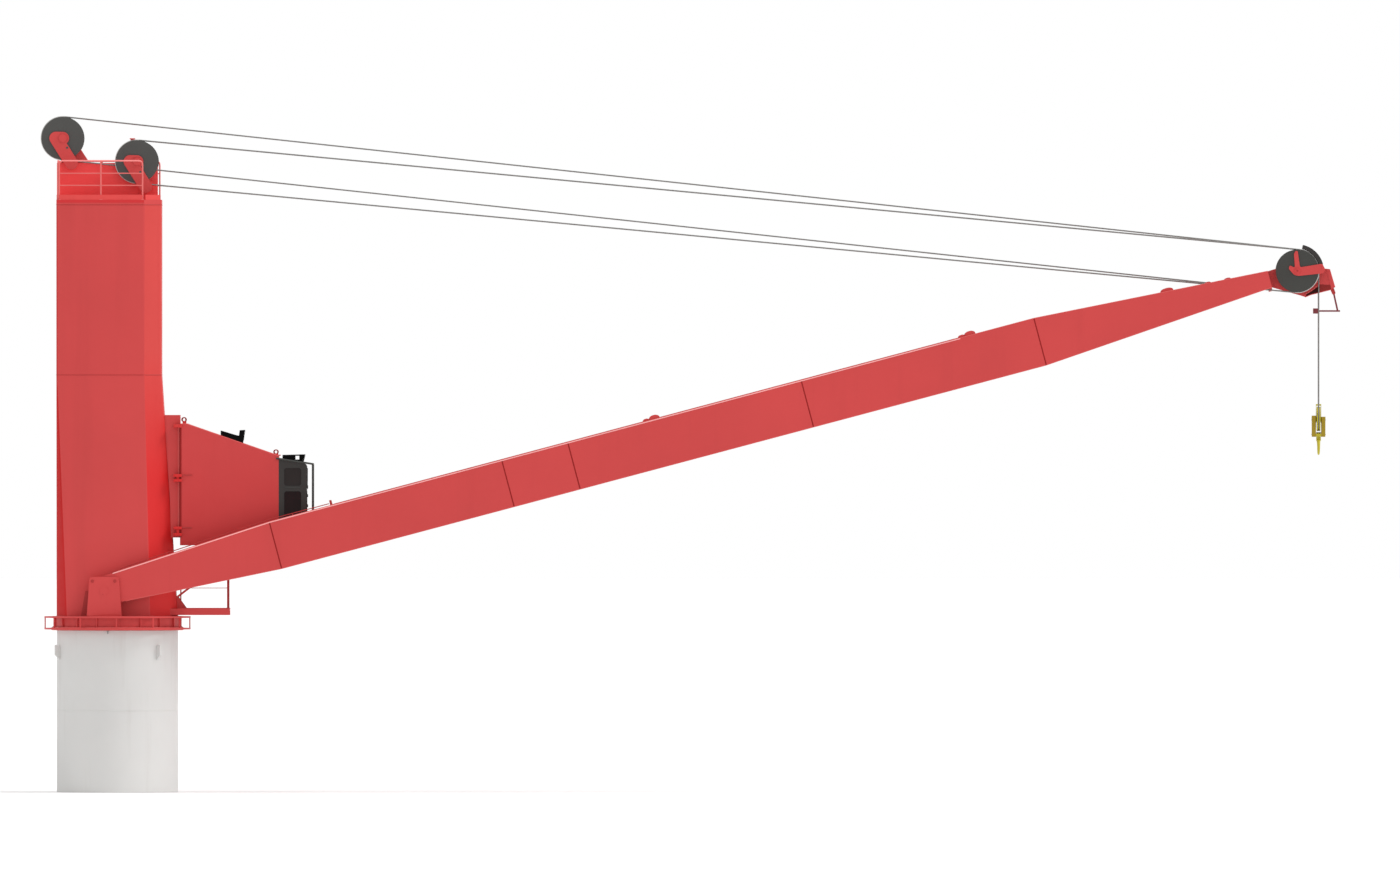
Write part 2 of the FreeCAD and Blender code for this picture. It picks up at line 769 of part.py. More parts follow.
# Limit lever hinged under the nose
def make_limit_lever():
    x = head_axis.x + lever_pivot_x
    z = head_axis.z + lever_pivot_z
    half = lever_half_width
    lug_face = half + lever_lug_play
    lug_end = lug_face + lever_lug_thickness
    pin = cylinder_y(lever_pin_radius, -lug_end, lug_end, x, z)
    lug = link_plate(head_axis.x + lever_root_x, head_axis.z + lever_root_z, lever_eye_radius,
                     x, z, lever_eye_radius, lug_face, lug_end).cut(nose_solid())
    save("lever_lugs", [fuse(both_sides([lug]) + [pin])])
    low = z - lever_drop
    rod = prism_xz([(x - lever_rod_half, z), (x + lever_rod_half, z),
                    (x + lever_rod_foot + lever_rod_half, low), (x + lever_rod_foot - lever_rod_half, low)],
                   -half, half)
    arm = box(x - lever_bar_rear, x + lever_bar_front, -half, half,
              low - lever_bar_depth / 2, low + lever_bar_depth / 2)
    weight_half = lever_weight_size / 2
    weight = box(x - lever_bar_rear, x - lever_bar_rear + lever_weight_size, -weight_half, weight_half,
                 low - weight_half, low + weight_half)
    eye = cylinder_y(lever_eye_radius, -half, half, x, z)
    hole = cylinder_y(lever_pin_radius + bearing_clearance, -half, half, x, z)
    save("limit_lever", [fuse([eye, rod, arm, weight]).cut(hole)])


# Hoist falls and the hook block that hangs in them
fall_x = head_axis.x + sheave_pitch_radius
block_z = head_axis.z - block_drop
block_rim = hoist_line_y + block_rim_lip
strap_inner = block_sheave_thickness / 2 + strap_play
strap_outer = strap_inner + strap_thickness
crosshead_top = block_z - block_rim - crosshead_below_sheave
crosshead_bottom = crosshead_top - crosshead_height


def make_falls():
    top = head_axis.z - bearing_clearance
    save("hoist_falls", both_sides([cylinder_z(wire_radius, block_z + bearing_clearance, top,
                                               fall_x, hoist_line_y)]))


def make_block_sheave():
    half = block_sheave_thickness / 2
    groove_floor = hoist_line_y - groove_half
    profile = [(block_shaft_radius + bearing_clearance, -half), (block_rim, -half), (block_rim, -groove_half),
               (groove_floor, -groove_half), (groove_floor, groove_half), (block_rim, groove_half),
               (block_rim, half), (block_shaft_radius + bearing_clearance, half)]
    outline = face_of([Vec(fall_x + x, r, block_z) for r, x in profile])
    save("block_sheave", [outline.revolve(Vec(fall_x, 0, block_z), Vec(1, 0, 0), 360)])
    middle = Vec(fall_x, 0, block_z)
    section = Part.Wire(Part.makeCircle(wire_radius, middle + Vec(0, hoist_line_y, 0), Vec(0, 0, 1)))
    save("block_wire_wrap", [Part.Face(section).revolve(middle, Vec(1, 0, 0), -180)])


def make_hook_block():
    shaft = cylinder_x(block_shaft_radius, fall_x - strap_outer - cheek_thickness,
                       fall_x + strap_outer + cheek_thickness, 0, block_z)
    half = [(cheek_bottom_half, block_z - cheek_below_shaft), (cheek_top_half, block_z),
            (cheek_top_half, block_z + cheek_above_shaft)]
    outline = half + [(-y, z) for y, z in reversed(half)]
    cheeks = [prism_yz(outline, fall_x + x, fall_x + x + cheek_thickness)
              for x in (-strap_outer - cheek_thickness, strap_outer)]
    save("block_cheeks", [fuse(cheeks + [shaft])])
    cap_bottom = block_z + block_rim + strap_above_rim
    strap_foot = block_z - cheek_above_shaft
    outer = box(fall_x - strap_outer, fall_x + strap_outer, -strap_half_width, strap_half_width,
                strap_foot, cap_bottom + strap_cap)
    inner = box(fall_x - strap_inner, fall_x + strap_inner, -strap_half_width, strap_half_width,
                strap_foot, cap_bottom)
    save("block_strap", [outer.cut(inner).cut(shaft)])
    crosshead = box(fall_x - strap_outer, fall_x + strap_outer, -cheek_bottom_half, cheek_bottom_half,
                    crosshead_bottom, crosshead_top)
    save("block_crosshead", [crosshead.cut(cylinder_z(shank_radius + bearing_clearance, crosshead_bottom,
                                                      crosshead_top, fall_x, 0))])


def make_hook():
    arc_radius = hook_throat_radius + hook_bar_radius
    lowest = block_z - hook_below_shaft
    middle = Vec(fall_x, 0, lowest + hook_throat_radius + 2 * hook_bar_radius)
    start = math.radians(hook_arc_from)
    begin = middle + Vec(0, arc_radius * math.cos(start), arc_radius * math.sin(start))
    along = Vec(0, -math.sin(start), math.cos(start))
    section = Part.Face(Part.Wire(Part.makeCircle(hook_bar_radius, begin, along)))
    bend = section.revolve(middle, Vec(1, 0, 0), hook_arc_turn)
    nut_bottom = crosshead_top + bearing_clearance
    shank = cylinder_z(shank_radius, begin.z, nut_bottom + shank_nut_height, fall_x, 0)
    nut = cylinder_z(shank_nut_radius, nut_bottom, nut_bottom + shank_nut_height, fall_x, 0)
    collar = cylinder_z(shank_nut_radius, begin.z, crosshead_bottom - hook_gap, fall_x, 0)
    save("hook", [fuse([bend, shank, nut, collar])])


# Cab on the front of the house
def make_cab():
    wall = cab_wall
    half = cab_half_width
    inner = half - wall
    house = lower_house_solid()
    mount = box(0, cab_rear_x, -cab_mount_half_width, cab_mount_half_width,
                cab_bottom + cab_mount_above_floor, cab_ridge_z + cab_mount_above_ridge)
    save("cab_mount", [mount.cut(house)])
    over = [(cab_rear_x, cab_ridge_z), (cab_rear_x + cab_ridge_length, cab_ridge_z),
            (cab_front_x, cab_front_top)]
    side = [(cab_front_x, cab_bottom), (cab_rear_x, cab_bottom)]
    save("cab_side_walls", both_sides([prism_xz(over + side, inner, half)]))
    under = [(x, z - wall) for x, z in reversed(over)]
    save("cab_roof", [prism_xz(over + under, -inner, inner)])
    save("cab_floor", [box(cab_rear_x + wall, cab_front_x, -inner, inner, cab_bottom, cab_bottom + wall)])
    save("cab_rear_wall", [box(cab_rear_x, cab_rear_x + wall, -inner, inner, cab_bottom, cab_ridge_z - wall)])


def make_cab_front():
    wall = cab_wall
    half = cab_half_width
    top = cab_front_top - wall
    nose_top = top - cab_nose_drop
    frame = prism_xz([(cab_front_x, cab_bottom), (cab_nose_x, cab_bottom), (cab_nose_x, nose_top),
                      (cab_front_x, top)], -half, half)
    brow = [edge for edge in frame.Edges
            if all(abs(v.X - cab_nose_x) < 1 and abs(v.Z - nose_top) < 1 for v in edge.Vertexes)]
    frame = frame.makeFillet(cab_nose_rounding, brow)
    inner_nose = cab_nose_x - wall
    hollow = prism_xz([(cab_front_x, cab_bottom + wall), (inner_nose, cab_bottom + wall),
                       (inner_nose, nose_top - wall), (cab_front_x, top - wall)], -half + wall, half - wall)
    frame = frame.cut(hollow)
    split = cab_bottom + window_split
    levels = ((cab_bottom + window_sill, split - window_bar / 2),
              (split + window_bar / 2, cab_front_top - window_head))
    glass_in = (wall - glass_thickness) / 2
    panes = []
    for low, high in levels:
        rear, fore = cab_front_x + window_frame, cab_nose_x - window_frame
        side_hole = box(rear, fore, -half, half, low, high)
        front_hole = box(cab_nose_x - wall, cab_nose_x, -half + window_frame, half - window_frame, low, high)
        frame = frame.cut(side_hole).cut(front_hole)
        panes += both_sides([box(rear, fore, half - glass_in - glass_thickness, half - glass_in, low, high)])
        panes.append(box(cab_nose_x - glass_in - glass_thickness, cab_nose_x - glass_in,
                         -half + window_frame, half - window_frame, low, high))
    save("cab_front_frame", [frame])
    save("cab_windows", panes)


def make_cab_rail():
    """A bar frame round the front of the cab, held off its sides by short stubs."""
    wall_y = cab_half_width
    y = wall_y + cab_rail_stand_off
    start = (cab_front_x - cab_rail_start_in, cab_front_top - cab_rail_start_drop)
    front = cab_nose_x + cab_rail_reach
    heel = cab_nose_x - cab_rail_heel
    top = cab_front_top - cab_rail_drop
    foot = cab_bottom + cab_rail_foot_height
    route = [Vec(start[0], wall_y, start[1]), Vec(start[0], y, start[1]), Vec(front, y, top),
             Vec(front, y, foot), Vec(heel, y, foot), Vec(heel, wall_y, foot)]
    radius = cab_rail_bar / 2
    ties = [bar(Vec(front, -y, z), Vec(front, y, z), radius) for z in (top, foot)]
    save("cab_guard_rail", [fuse(both_sides([bar_chain(route, radius)]) + ties)])


# Service platform
def make_platform():
    house = lower_house_solid()
    low = platform_top - platform_thickness
    half = platform_half_width
    deck = box(0, platform_front, -half, half, low, platform_top)
    beams = [box(0, platform_front, y, y + platform_beam_width, low - platform_beam_depth, low)
             for y in (-half, half - platform_beam_width)]
    gusset_root = house_foot_front
    gusset = prism_xz([(0, platform_top), (gusset_root + platform_gusset_length, platform_top),
                       (gusset_root, platform_top + platform_gusset_height),
                       (0, platform_top + platform_gusset_height)],
                      platform_gusset_y, platform_gusset_y + platform_gusset_thickness)
    save("service_platform", [fuse([deck] + beams + both_sides([gusset])).cut(house)])
    y = half - platform_rail_bar
    front = platform_front - platform_rail_bar
    rear = house_foot_front + platform_rail_bar
    corners = [Vec(rear, -y, 0), Vec(front, -y, 0), Vec(front, y, 0), Vec(rear, y, 0)]
    save("platform_railing", [rail_panel(start, end, platform_top, platform_rail_heights, platform_rail_bar)
                              for start, end in zip(corners, corners[1:])])


make_pedestal()
make_base_ring()
make_guard_hoop()
make_house()
make_roof_railing()
make_sheave_arms("rear", rear_axis, rear_arm_foot, hoist_line_y)
make_sheave_arms("front", front_axis, front_arm_foot, luffing_line_y)
save("rear_sheaves", both_sides([sheave(rear_axis, hoist_line_y)]))
save("front_sheaves", both_sides([sheave(front_axis, luffing_line_y)]))
save("head_hoist_sheaves", both_sides([sheave(head_axis, hoist_line_y)]))
save("head_luffing_sheaves", both_sides([sheave(head_axis, luffing_line_y)]))
make_wires()
make_foot_brackets()
make_jib_legs()
make_cross_beams()
make_rope_rests()
make_head_plates()
make_head_guards()
make_wire_sockets()
make_limit_lever()
make_falls()
make_block_sheave()
make_hook_block()
make_hook()
make_cab()
make_cab_front()
make_cab_rail()
make_platform()
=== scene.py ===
"""Looks of a wire-luffing marine deck crane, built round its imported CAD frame. Metres."""
import json
from math import cos, pi, radians, sin

import bmesh
import bpy
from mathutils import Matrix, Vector


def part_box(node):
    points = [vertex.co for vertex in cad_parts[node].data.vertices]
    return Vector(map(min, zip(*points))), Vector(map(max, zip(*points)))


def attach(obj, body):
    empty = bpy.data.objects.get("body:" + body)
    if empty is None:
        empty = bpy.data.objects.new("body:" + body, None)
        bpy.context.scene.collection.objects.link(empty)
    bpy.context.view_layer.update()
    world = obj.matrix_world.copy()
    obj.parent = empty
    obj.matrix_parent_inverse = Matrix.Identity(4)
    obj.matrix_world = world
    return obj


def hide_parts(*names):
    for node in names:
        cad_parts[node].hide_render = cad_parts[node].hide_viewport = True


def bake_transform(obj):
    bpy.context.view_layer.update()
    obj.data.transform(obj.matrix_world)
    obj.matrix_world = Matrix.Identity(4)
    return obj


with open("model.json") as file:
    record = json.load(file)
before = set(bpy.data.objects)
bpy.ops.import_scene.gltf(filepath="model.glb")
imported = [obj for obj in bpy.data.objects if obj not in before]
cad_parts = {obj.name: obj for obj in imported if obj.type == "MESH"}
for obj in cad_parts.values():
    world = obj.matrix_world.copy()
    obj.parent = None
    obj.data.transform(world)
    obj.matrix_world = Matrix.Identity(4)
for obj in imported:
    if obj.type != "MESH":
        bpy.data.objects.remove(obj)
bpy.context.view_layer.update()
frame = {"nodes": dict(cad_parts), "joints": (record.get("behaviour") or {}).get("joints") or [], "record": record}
nodes = frame["nodes"]

SIDES = (1, -1)
NAMED_SIDES = ((1, "left"), (-1, "right"))
UP = Vector((0, 0, 1))

# Photograph's frame and scale
IMAGE_WIDTH = 1400
IMAGE_HEIGHT = 876
METRES_PER_PIXEL = 0.02475
AXIS_PIXEL_X = 117.5
GROUND_PIXEL_Y = 792.0
CAMERA_DISTANCE = 1000.0
SENSOR_WIDTH = 36.0

# Light and floor
WHITE = (1, 1, 1, 1)
AMBIENT_STRENGTH = 0.86
SUN_STRENGTH = 1.5
SUN_SOFTNESS = 0.35
SUN_DIRECTION = Vector((-0.72, 0.1, -0.69))
FLOOR_SIZE = 3000.0
FLOOR_DROP = 0.002
FLOOR_COLOUR = (0.93, 0.93, 0.93, 1)
FLOOR_ROUGHNESS = 0.9

# Places taken from the frame
joints = {joint["name"]: joint for joint in frame["joints"]}
PIVOT = Vector(joints["luff"]["pos_m"])
HEAD = Vector(joints["falls_hang"]["pos_m"])
REAR_AXIS = Vector(joints["rear_sheaves_turn"]["pos_m"])
FRONT_AXIS = Vector(joints["front_sheaves_turn"]["pos_m"])
BLOCK = Vector(joints["block_sheave_turn"]["pos_m"])
REST_ANGLE = radians(-joints["luff"]["range_deg"][0])


# Node trees; a mix node's colours have these sockets
MIX_SLOTS = (6, 7)
MIXED = 2


class Nodes:
    """A node tree with short ways to add, set and link nodes."""

    def __init__(self, tree):
        self.tree = tree
        tree.nodes.clear()

    def set(self, node, **inputs):
        for name, value in inputs.items():
            node.inputs[name.replace("_", " ")].default_value = value
        return node

    def add(self, kind, **inputs):
        return self.set(self.tree.nodes.new("ShaderNode" + kind), **inputs)

    def link(self, source, output, target, socket):
        self.tree.links.new(source.outputs[output], target.inputs[socket])


class Shader(Nodes):
    """A material with one principled surface."""

    def __init__(self, name):
        self.material = bpy.data.materials.new(name)
        self.material.use_nodes = True
        super().__init__(self.material.node_tree)
        output = self.add("OutputMaterial")
        self.bsdf = self.add("BsdfPrincipled")
        self.link(self.bsdf, "BSDF", output, "Surface")
        self.coords = self.add("TexCoord")

    def noise(self, scale, stretch=(1.0, 1.0, 1.0), detail=4.0, roughness=0.55):
        mapping = self.add("Mapping", Scale=stretch)
        self.link(self.coords, "Object", mapping, "Vector")
        node = self.add("TexNoise", Scale=scale, Detail=detail, Roughness=roughness)
        self.link(mapping, "Vector", node, "Vector")
        return node

    def ramp(self, source, output, low, high, low_value=0.0, high_value=1.0):
        node = self.add("MapRange", From_Min=low, From_Max=high, To_Min=low_value, To_Max=high_value)
        self.link(source, output, node, "Value")
        return node

    def mix(self, factor, first, second):
        """Mixes two colours; each is another mix or a plain colour."""
        node = self.add("Mix")
        node.data_type = "RGBA"
        self.link(factor, "Result", node, "Factor")
        for slot, value in zip(MIX_SLOTS, (first, second)):
            if hasattr(value, "outputs"):
                self.link(value, MIXED, node, slot)
            else:
                node.inputs[slot].default_value = value
        return node

    def height(self, low, high):
        """A factor that rises from 0 to 1 between two heights."""
        split = self.add("SeparateXYZ")
        self.link(self.coords, "Object", split, "Vector")
        return self.ramp(split, "Z", low, high)

    def colour(self, node):
        self.link(node, MIXED, self.bsdf, "Base Color")

    def bump(self, source, strength, distance):
        node = self.add("Bump", Strength=strength, Distance=distance)
        self.link(source, "Fac", node, "Height")
        self.link(node, "Normal", self.bsdf, "Normal")


def shade(colour, factor):
    return (colour[0] * factor, colour[1] * factor, colour[2] * factor, 1.0)


NOISE_SPAN = (0.3, 0.7)
CLOUD_SCALE = 0.35
RUN_SCALE = 1.6
RUN_STRETCH = (1.0, 1.0, 0.07)
WEAR_SCALE = 2.2
PEEL_SCALE = 38.0


def painted(name, colour, streak, streak_colour, roughness=0.48, tone=0.04, sheen=0.25, faded=None):
    """Brushed-on marine coating: cloudy tone, runs of dirt down the faces and a fine orange-peel bump.

    faded is another colour and the two heights between which the coating takes it on.
    """
    s = Shader(name)
    tone_factor = s.ramp(s.noise(CLOUD_SCALE, detail=6.0), "Fac", *NOISE_SPAN)
    base = s.mix(tone_factor, shade(colour, 1 - tone), shade(colour, 1 + tone))
    if faded:
        upper, low, high = faded
        top = s.mix(tone_factor, shade(upper, 1 - tone), shade(upper, 1 + tone))
        base = s.mix(s.height(low, high), base, top)
    runs = s.noise(RUN_SCALE, stretch=RUN_STRETCH, detail=5.0, roughness=0.6)
    run_factor = s.ramp(runs, "Fac", 0.55, 0.8, 0.0, streak)
    s.colour(s.mix(run_factor, base, shade(streak_colour, 1.0)))
    wear = s.noise(WEAR_SCALE, detail=3.0)
    spread = s.ramp(wear, "Fac", *NOISE_SPAN, roughness - 0.06, roughness + 0.08)
    s.link(spread, "Result", s.bsdf, "Roughness")
    s.set(s.bsdf, Specular_IOR_Level=sheen)
    s.bump(s.noise(PEEL_SCALE, detail=2.0), 0.12, 0.002)
    return s.material


def steel(name, colour, roughness):
    s = Shader(name)
    grain = s.noise(14.0, stretch=(1.0, 6.0, 1.0))
    factor = s.ramp(grain, "Fac", *NOISE_SPAN)
    s.colour(s.mix(factor, shade(colour, 0.75), shade(colour, 1.2)))
    s.set(s.bsdf, Metallic=0.85)
    spread = s.ramp(grain, "Fac", *NOISE_SPAN, roughness - 0.08, roughness + 0.1)
    s.link(spread, "Result", s.bsdf, "Roughness")
    s.bump(grain, 0.1, 0.001)
    return s.material


def red(place, *values, **more):
    """The red coating as it is at one place."""
    return painted("red_coating_" + place, *values, **more)


PANE_TINT_CHANGE = (7.45, 7.57)


def glass(name, low_colour, high_colour):
    """Tinted panes, darker in the lower windows than in the upper ones."""
    s = Shader(name)
    haze = s.noise(3.0)
    factor = s.ramp(haze, "Fac", 0.35, 0.75)
    low = s.mix(factor, shade(low_colour, 0.8), shade(low_colour, 1.3))
    high = s.mix(factor, shade(high_colour, 0.9), shade(high_colour, 1.1))
    s.colour(s.mix(s.height(*PANE_TINT_CHANGE), low, high))
    s.set(s.bsdf, Roughness=0.06, Specular_IOR_Level=0.12)
    return s.material


RED = painted("red_coating", (0.59, 0.056, 0.055), 0.25, (0.44, 0.04, 0.039))
PALE = painted("pale_coating", (0.65, 0.645, 0.63), 0.5, (0.47, 0.44, 0.41), roughness=0.5)
DARK = painted("sheave_coating", (0.07, 0.069, 0.065), 0.4, (0.04, 0.039, 0.036), roughness=0.5)
YELLOW = painted("yellow_coating", (0.5, 0.43, 0.03), 0.7, (0.22, 0.16, 0.01), roughness=0.45)
OLIVE = painted("yellow_coating_soiled", (0.34, 0.235, 0.014), 0.6, (0.22, 0.13, 0.008), roughness=0.5)
BLACK = painted("black_coating", (0.03, 0.026, 0.024), 0.4, (0.015, 0.013, 0.012), sheen=0.3)
DARK_HEAD = painted("sheave_coating_head", (0.05, 0.05, 0.045), 0.4, (0.032, 0.031, 0.029), roughness=0.5)
WIRE = steel("wire_strand", (0.24, 0.235, 0.225), 0.5)
PIN = steel("turned_steel", (0.3, 0.29, 0.28), 0.35)
# Pale grey paint in place of steel for the wire wound on the sheaves: painted highlight
WIRE_PAINTED_SHINE = painted("wire_strand_wound_shine", (0.5, 0.49, 0.47), 0.5, (0.3, 0.29, 0.27), sheen=0.2)
GLASS = glass("tinted_pane", (0.014, 0.0045, 0.005), (0.028, 0.021, 0.02))
LAMP_BLACK = painted("lamp_housing", (0.0032, 0.0032, 0.0032), 0.3, (0.006, 0.006, 0.006), sheen=0.03)
GREY = painted("grey_coating", (0.055, 0.057, 0.053), 0.4, (0.03, 0.03, 0.03), sheen=0.15)
# Redder, brighter coat for faces turned to the front, reddest below 7.8 m: painted light
RED_FRONT_LIT = red("front", (0.63, 0.02, 0.02), 0.25, (0.5, 0.018, 0.018),
                faded=((0.6, 0.056, 0.05), 7.8, 10.9))
# Darker coat with little sheen for faces turned to the rear: painted shade
RED_REAR_SHADED = red("rear", (0.5, 0.02, 0.02), 0.25, (0.42, 0.018, 0.018), sheen=0.08)
# The cab's walls are darker and redder towards the bottom
RED_CAB = red("cab", (0.53, 0.036, 0.036), 0.2, (0.44, 0.03, 0.03), faded=((0.575, 0.05, 0.05), 6.4, 8.6))
# Pale pink for the tubes along the legs' top edges: painted highlight
RED_PAINTED_HIGHLIGHT = red("painted_highlight", (0.92, 0.42, 0.41), 0.2, (0.75, 0.24, 0.23))
RED_SEAM = red("in_seams", (0.27, 0.012, 0.012), 0.3, (0.18, 0.01, 0.01), sheen=0.1)
# Pale pink for the roof rails, paler still for their top rail: painted highlight
RED_RAIL_HIGHLIGHT = red("rail_painted_highlight", (0.74, 0.155, 0.145), 0.2, (0.6, 0.09, 0.085))
RED_TOP_RAIL_HIGHLIGHT = red("top_rail_painted_highlight", (0.9, 0.26, 0.25), 0.2, (0.75, 0.16, 0.155))
# Deeper red for a strip along the deck's side edge: painted shade under the toe boards
RED_DECK_SHADE_LINE = red("deck_edge_shade", (0.61, 0.03, 0.033), 0.2, (0.5, 0.026, 0.028), sheen=0.2)
RED_DEEP = red("in_joints", (0.42, 0.035, 0.034), 0.3, (0.28, 0.024, 0.023))
# Brighter, redder coat for the sheave foundation: painted light
RED_FOUNDATION_LIT = red("foundation_painted_light", (0.9, 0.068, 0.068), 0.2, (0.6, 0.045, 0.045))
RED_SHADED = red("under_nose", (0.26, 0.024, 0.022), 0.3, (0.2, 0.018, 0.016), sheen=0.1)
# Near-black maroon for panels on the nose's plates: painted shadow inside the nose
RED_NOSE_SHADOW = red("nose_painted_shadow", (0.038, 0.008, 0.007), 0.3, (0.03, 0.006, 0.006), sheen=0.05)
RED_LEVER = painted("maroon_coating", (0.205, 0.043, 0.05), 0.3, (0.15, 0.03, 0.034), sheen=0.15)
# Lighter red for the toe boards: painted light
RED_TOE_LIT = red("toe_boards", (0.72, 0.064, 0.06), 0.25, (0.55, 0.045, 0.042))
# Pale red for lips and flanges along edges: painted highlight
RED_HIGHLIT_EDGES = red("painted_edge_highlights", (0.66, 0.1, 0.095), 0.3, (0.5, 0.05, 0.05))
SLOT_MATERIALS = dict(red_paint=RED, pedestal_paint=PALE, sheave_paint=DARK, hook_yellow=YELLOW,
                      cab_black=BLACK, wire_steel=WIRE, pin_steel=PIN, cab_glass=GLASS)
NODE_MATERIALS = dict(block_sheave=YELLOW, sheave_foundation=RED_FOUNDATION_LIT, foot_pins=RED, head_shaft=RED,
                      limit_lever=RED_LEVER, lever_lugs=RED_DEEP, head_hoist_sheaves=DARK_HEAD,
                      head_luffing_sheaves=DARK_HEAD, cab_side_walls=RED_CAB, cab_guard_rail=GREY,
                      house_wire_wraps=WIRE_PAINTED_SHINE, head_wire_wraps=WIRE_PAINTED_SHINE)


def dress_nodes():
    """Every CAD node takes the finish of its material slot, or one of its own."""
    for part in frame["record"]["subparts"]:
        data = nodes[part["node"]].data
        data.materials.clear()
        data.materials.append(NODE_MATERIALS.get(part["node"], SLOT_MATERIALS[part["material_slot"]]))


# Mesh helpers
SHARP_ANGLE = radians(35)


def new_object(name, data):
    obj = bpy.data.objects.new(name, data)
    bpy.context.scene.collection.objects.link(obj)
    return obj


def piece(name, bm, material=None, body="house", bevel=0.0, slot="red_paint"):
    """Turns a bmesh into a named object with its slot's finish or its own, riding on a body."""
    bmesh.ops.recalc_face_normals(bm, faces=bm.faces)
    mesh = bpy.data.meshes.new(name)
    bm.to_mesh(mesh)
    bm.free()
    for polygon in mesh.polygons:
        polygon.use_smooth = True
    mesh.set_sharp_from_angle(angle=SHARP_ANGLE)
    mesh.materials.append(material or SLOT_MATERIALS[slot])
    obj = new_object(name, mesh)
    if bevel:
        modifier = obj.modifiers.new("rounded_edges", "BEVEL")
        modifier.width = bevel
        modifier.segments = 2
        modifier.limit_method = "ANGLE"
        modifier.angle_limit = SHARP_ANGLE
        modifier.harden_normals = True
    if body:
        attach(obj, body)
    return obj


def recoat(obj, coat, chosen):
    """Gives the faces that a test picks a coat of their own."""
    obj.data.materials.append(coat)
    for polygon in obj.data.polygons:
        if chosen(polygon):
            polygon.material_index = len(obj.data.materials) - 1


def join_loops(bm, loops):
    """Faces between each closed loop of corners and the next one."""
    for near, far in zip(loops, loops[1:]):
        for i in range(len(near)):
            j = (i + 1) % len(near)
            bm.faces.new((near[i], near[j], far[j], far[i]))


def add_prism(bm, outline, shift):
    """A flat outline pushed along a shift."""
    low = [bm.verts.new(point) for point in outline]
    high = [bm.verts.new(point + shift) for point in outline]
    bm.faces.new(low[::-1])
    bm.faces.new(high)
    join_loops(bm, (low, high))


def add_box(bm, low, high):
    x0, y0, z0 = low
    x1, y1, z1 = high
    outline = [Vector(p) for p in ((x0, y0, z0), (x1, y0, z0), (x1, y1, z0), (x0, y1, z0))]
    add_prism(bm, outline, Vector((0, 0, z1 - z0)))


def add_side_box(bm, sign, x, y, z):
    """A box by its ranges, where y counts outwards on one side of the middle plane."""
    near, far = sorted((sign * y[0], sign * y[1]))
    add_box(bm, (x[0], near, z[0]), (x[1], far, z[1]))


def at_y(y, outline):
    return [Vector((x, y, z)) for x, z in outline]


def plate_xz(bm, outline, y0, y1):
    add_prism(bm, at_y(y0, outline), Vector((0, y1 - y0, 0)))


def side_plate(bm, sign, outline, y):
    plate_xz(bm, outline, sign * y[0], sign * y[1])


def on_circle(radius, angle, z):
    return Vector((radius * cos(angle), radius * sin(angle), z))


def circle_line(radius, z, steps=128):
    """A closed circle round the upright axis; its last point is its first."""
    return [on_circle(radius, 2 * pi * i / steps, z) for i in range(steps + 1)]


def ring_points(centre, normal, radius, sides):
    turn = normal.to_track_quat("Z", "Y").to_matrix()
    return [centre + turn @ point for point in circle_line(radius, 0, sides)[:-1]]


def add_rod(bm, start, end, radius, sides=16):
    """A plain round rod, or a hexagon with six sides."""
    add_prism(bm, ring_points(start, end - start, radius, sides), end - start)


# Washer and head of a bolt, as shares of its size: from, to, radius and sides
BOLT_SHARES = ((-0.2, 0.12, 0.95, 16), (0.0, 0.6, 0.72, 6))


def add_bolt(bm, place, axis, size):
    """A hexagon head on a washer, standing on a face."""
    for low, high, radius, sides in BOLT_SHARES:
        add_rod(bm, place + axis * size * low, place + axis * size * high, size * radius, sides)


def rounded(points, radius, steps=5):
    """The same line with an arc in place of each inner corner."""
    line = [points[0]]
    for before, corner, after in zip(points, points[1:], points[2:]):
        back, ahead = before - corner, after - corner
        reach = min(radius, back.length / 2.1, ahead.length / 2.1)
        start, end = corner + back.normalized() * reach, corner + ahead.normalized() * reach
        for i in range(steps + 1):
            t = i / steps
            line.append(start * (1 - t) ** 2 + corner * 2 * t * (1 - t) + end * t ** 2)
    line.append(points[-1])
    return line


def add_tube(bm, points, radius, sides=12):
    """A round tube along a line of points, closed at both ends."""
    rings = []
    count = len(points)
    across = None
    for i, point in enumerate(points):
        run = (points[min(i + 1, count - 1)] - points[max(i - 1, 0)]).normalized()
        if across is None:
            across = run.orthogonal().normalized()
        across = (across - run * across.dot(run)).normalized()
        other = run.cross(across)
        angles = (2 * pi * k / sides for k in range(sides))
        rings.append([bm.verts.new(point + (across * cos(a) + other * sin(a)) * radius)
                      for a in angles])
    join_loops(bm, rings)
    bm.faces.new(rings[0][::-1])
    bm.faces.new(rings[-1])


# Wires
WIRE_RADIUS = 0.016
RIM_BELOW_WIRE = 0.004
SOCKET_DEPTH = 0.02
PITCH_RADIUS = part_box("rear_sheaves")[1].z - REAR_AXIS.z + RIM_BELOW_WIRE
HOIST_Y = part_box("hoist_falls")[1].y - WIRE_RADIUS
LUFFING_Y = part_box("luffing_wires")[1].y - WIRE_RADIUS
SOCKET_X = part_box("wire_sockets")[0].x


def tangent(axis_a, axis_b, y, side):
    run = (axis_b - axis_a).normalized()
    lift = Vector((-run.z, 0, run.x)) * PITCH_RADIUS * side
    return [axis + lift + Vector((0, y, 0)) for axis in (axis_a, axis_b)]


def stretched_wire(name, start, end):
    """A straight wire between two fixed points, riding on no body."""
    bm = bmesh.new()
    add_rod(bm, start, end, WIRE_RADIUS)
    wire = piece(name, bm, body=None, slot="wire_steel")
    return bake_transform(wire)


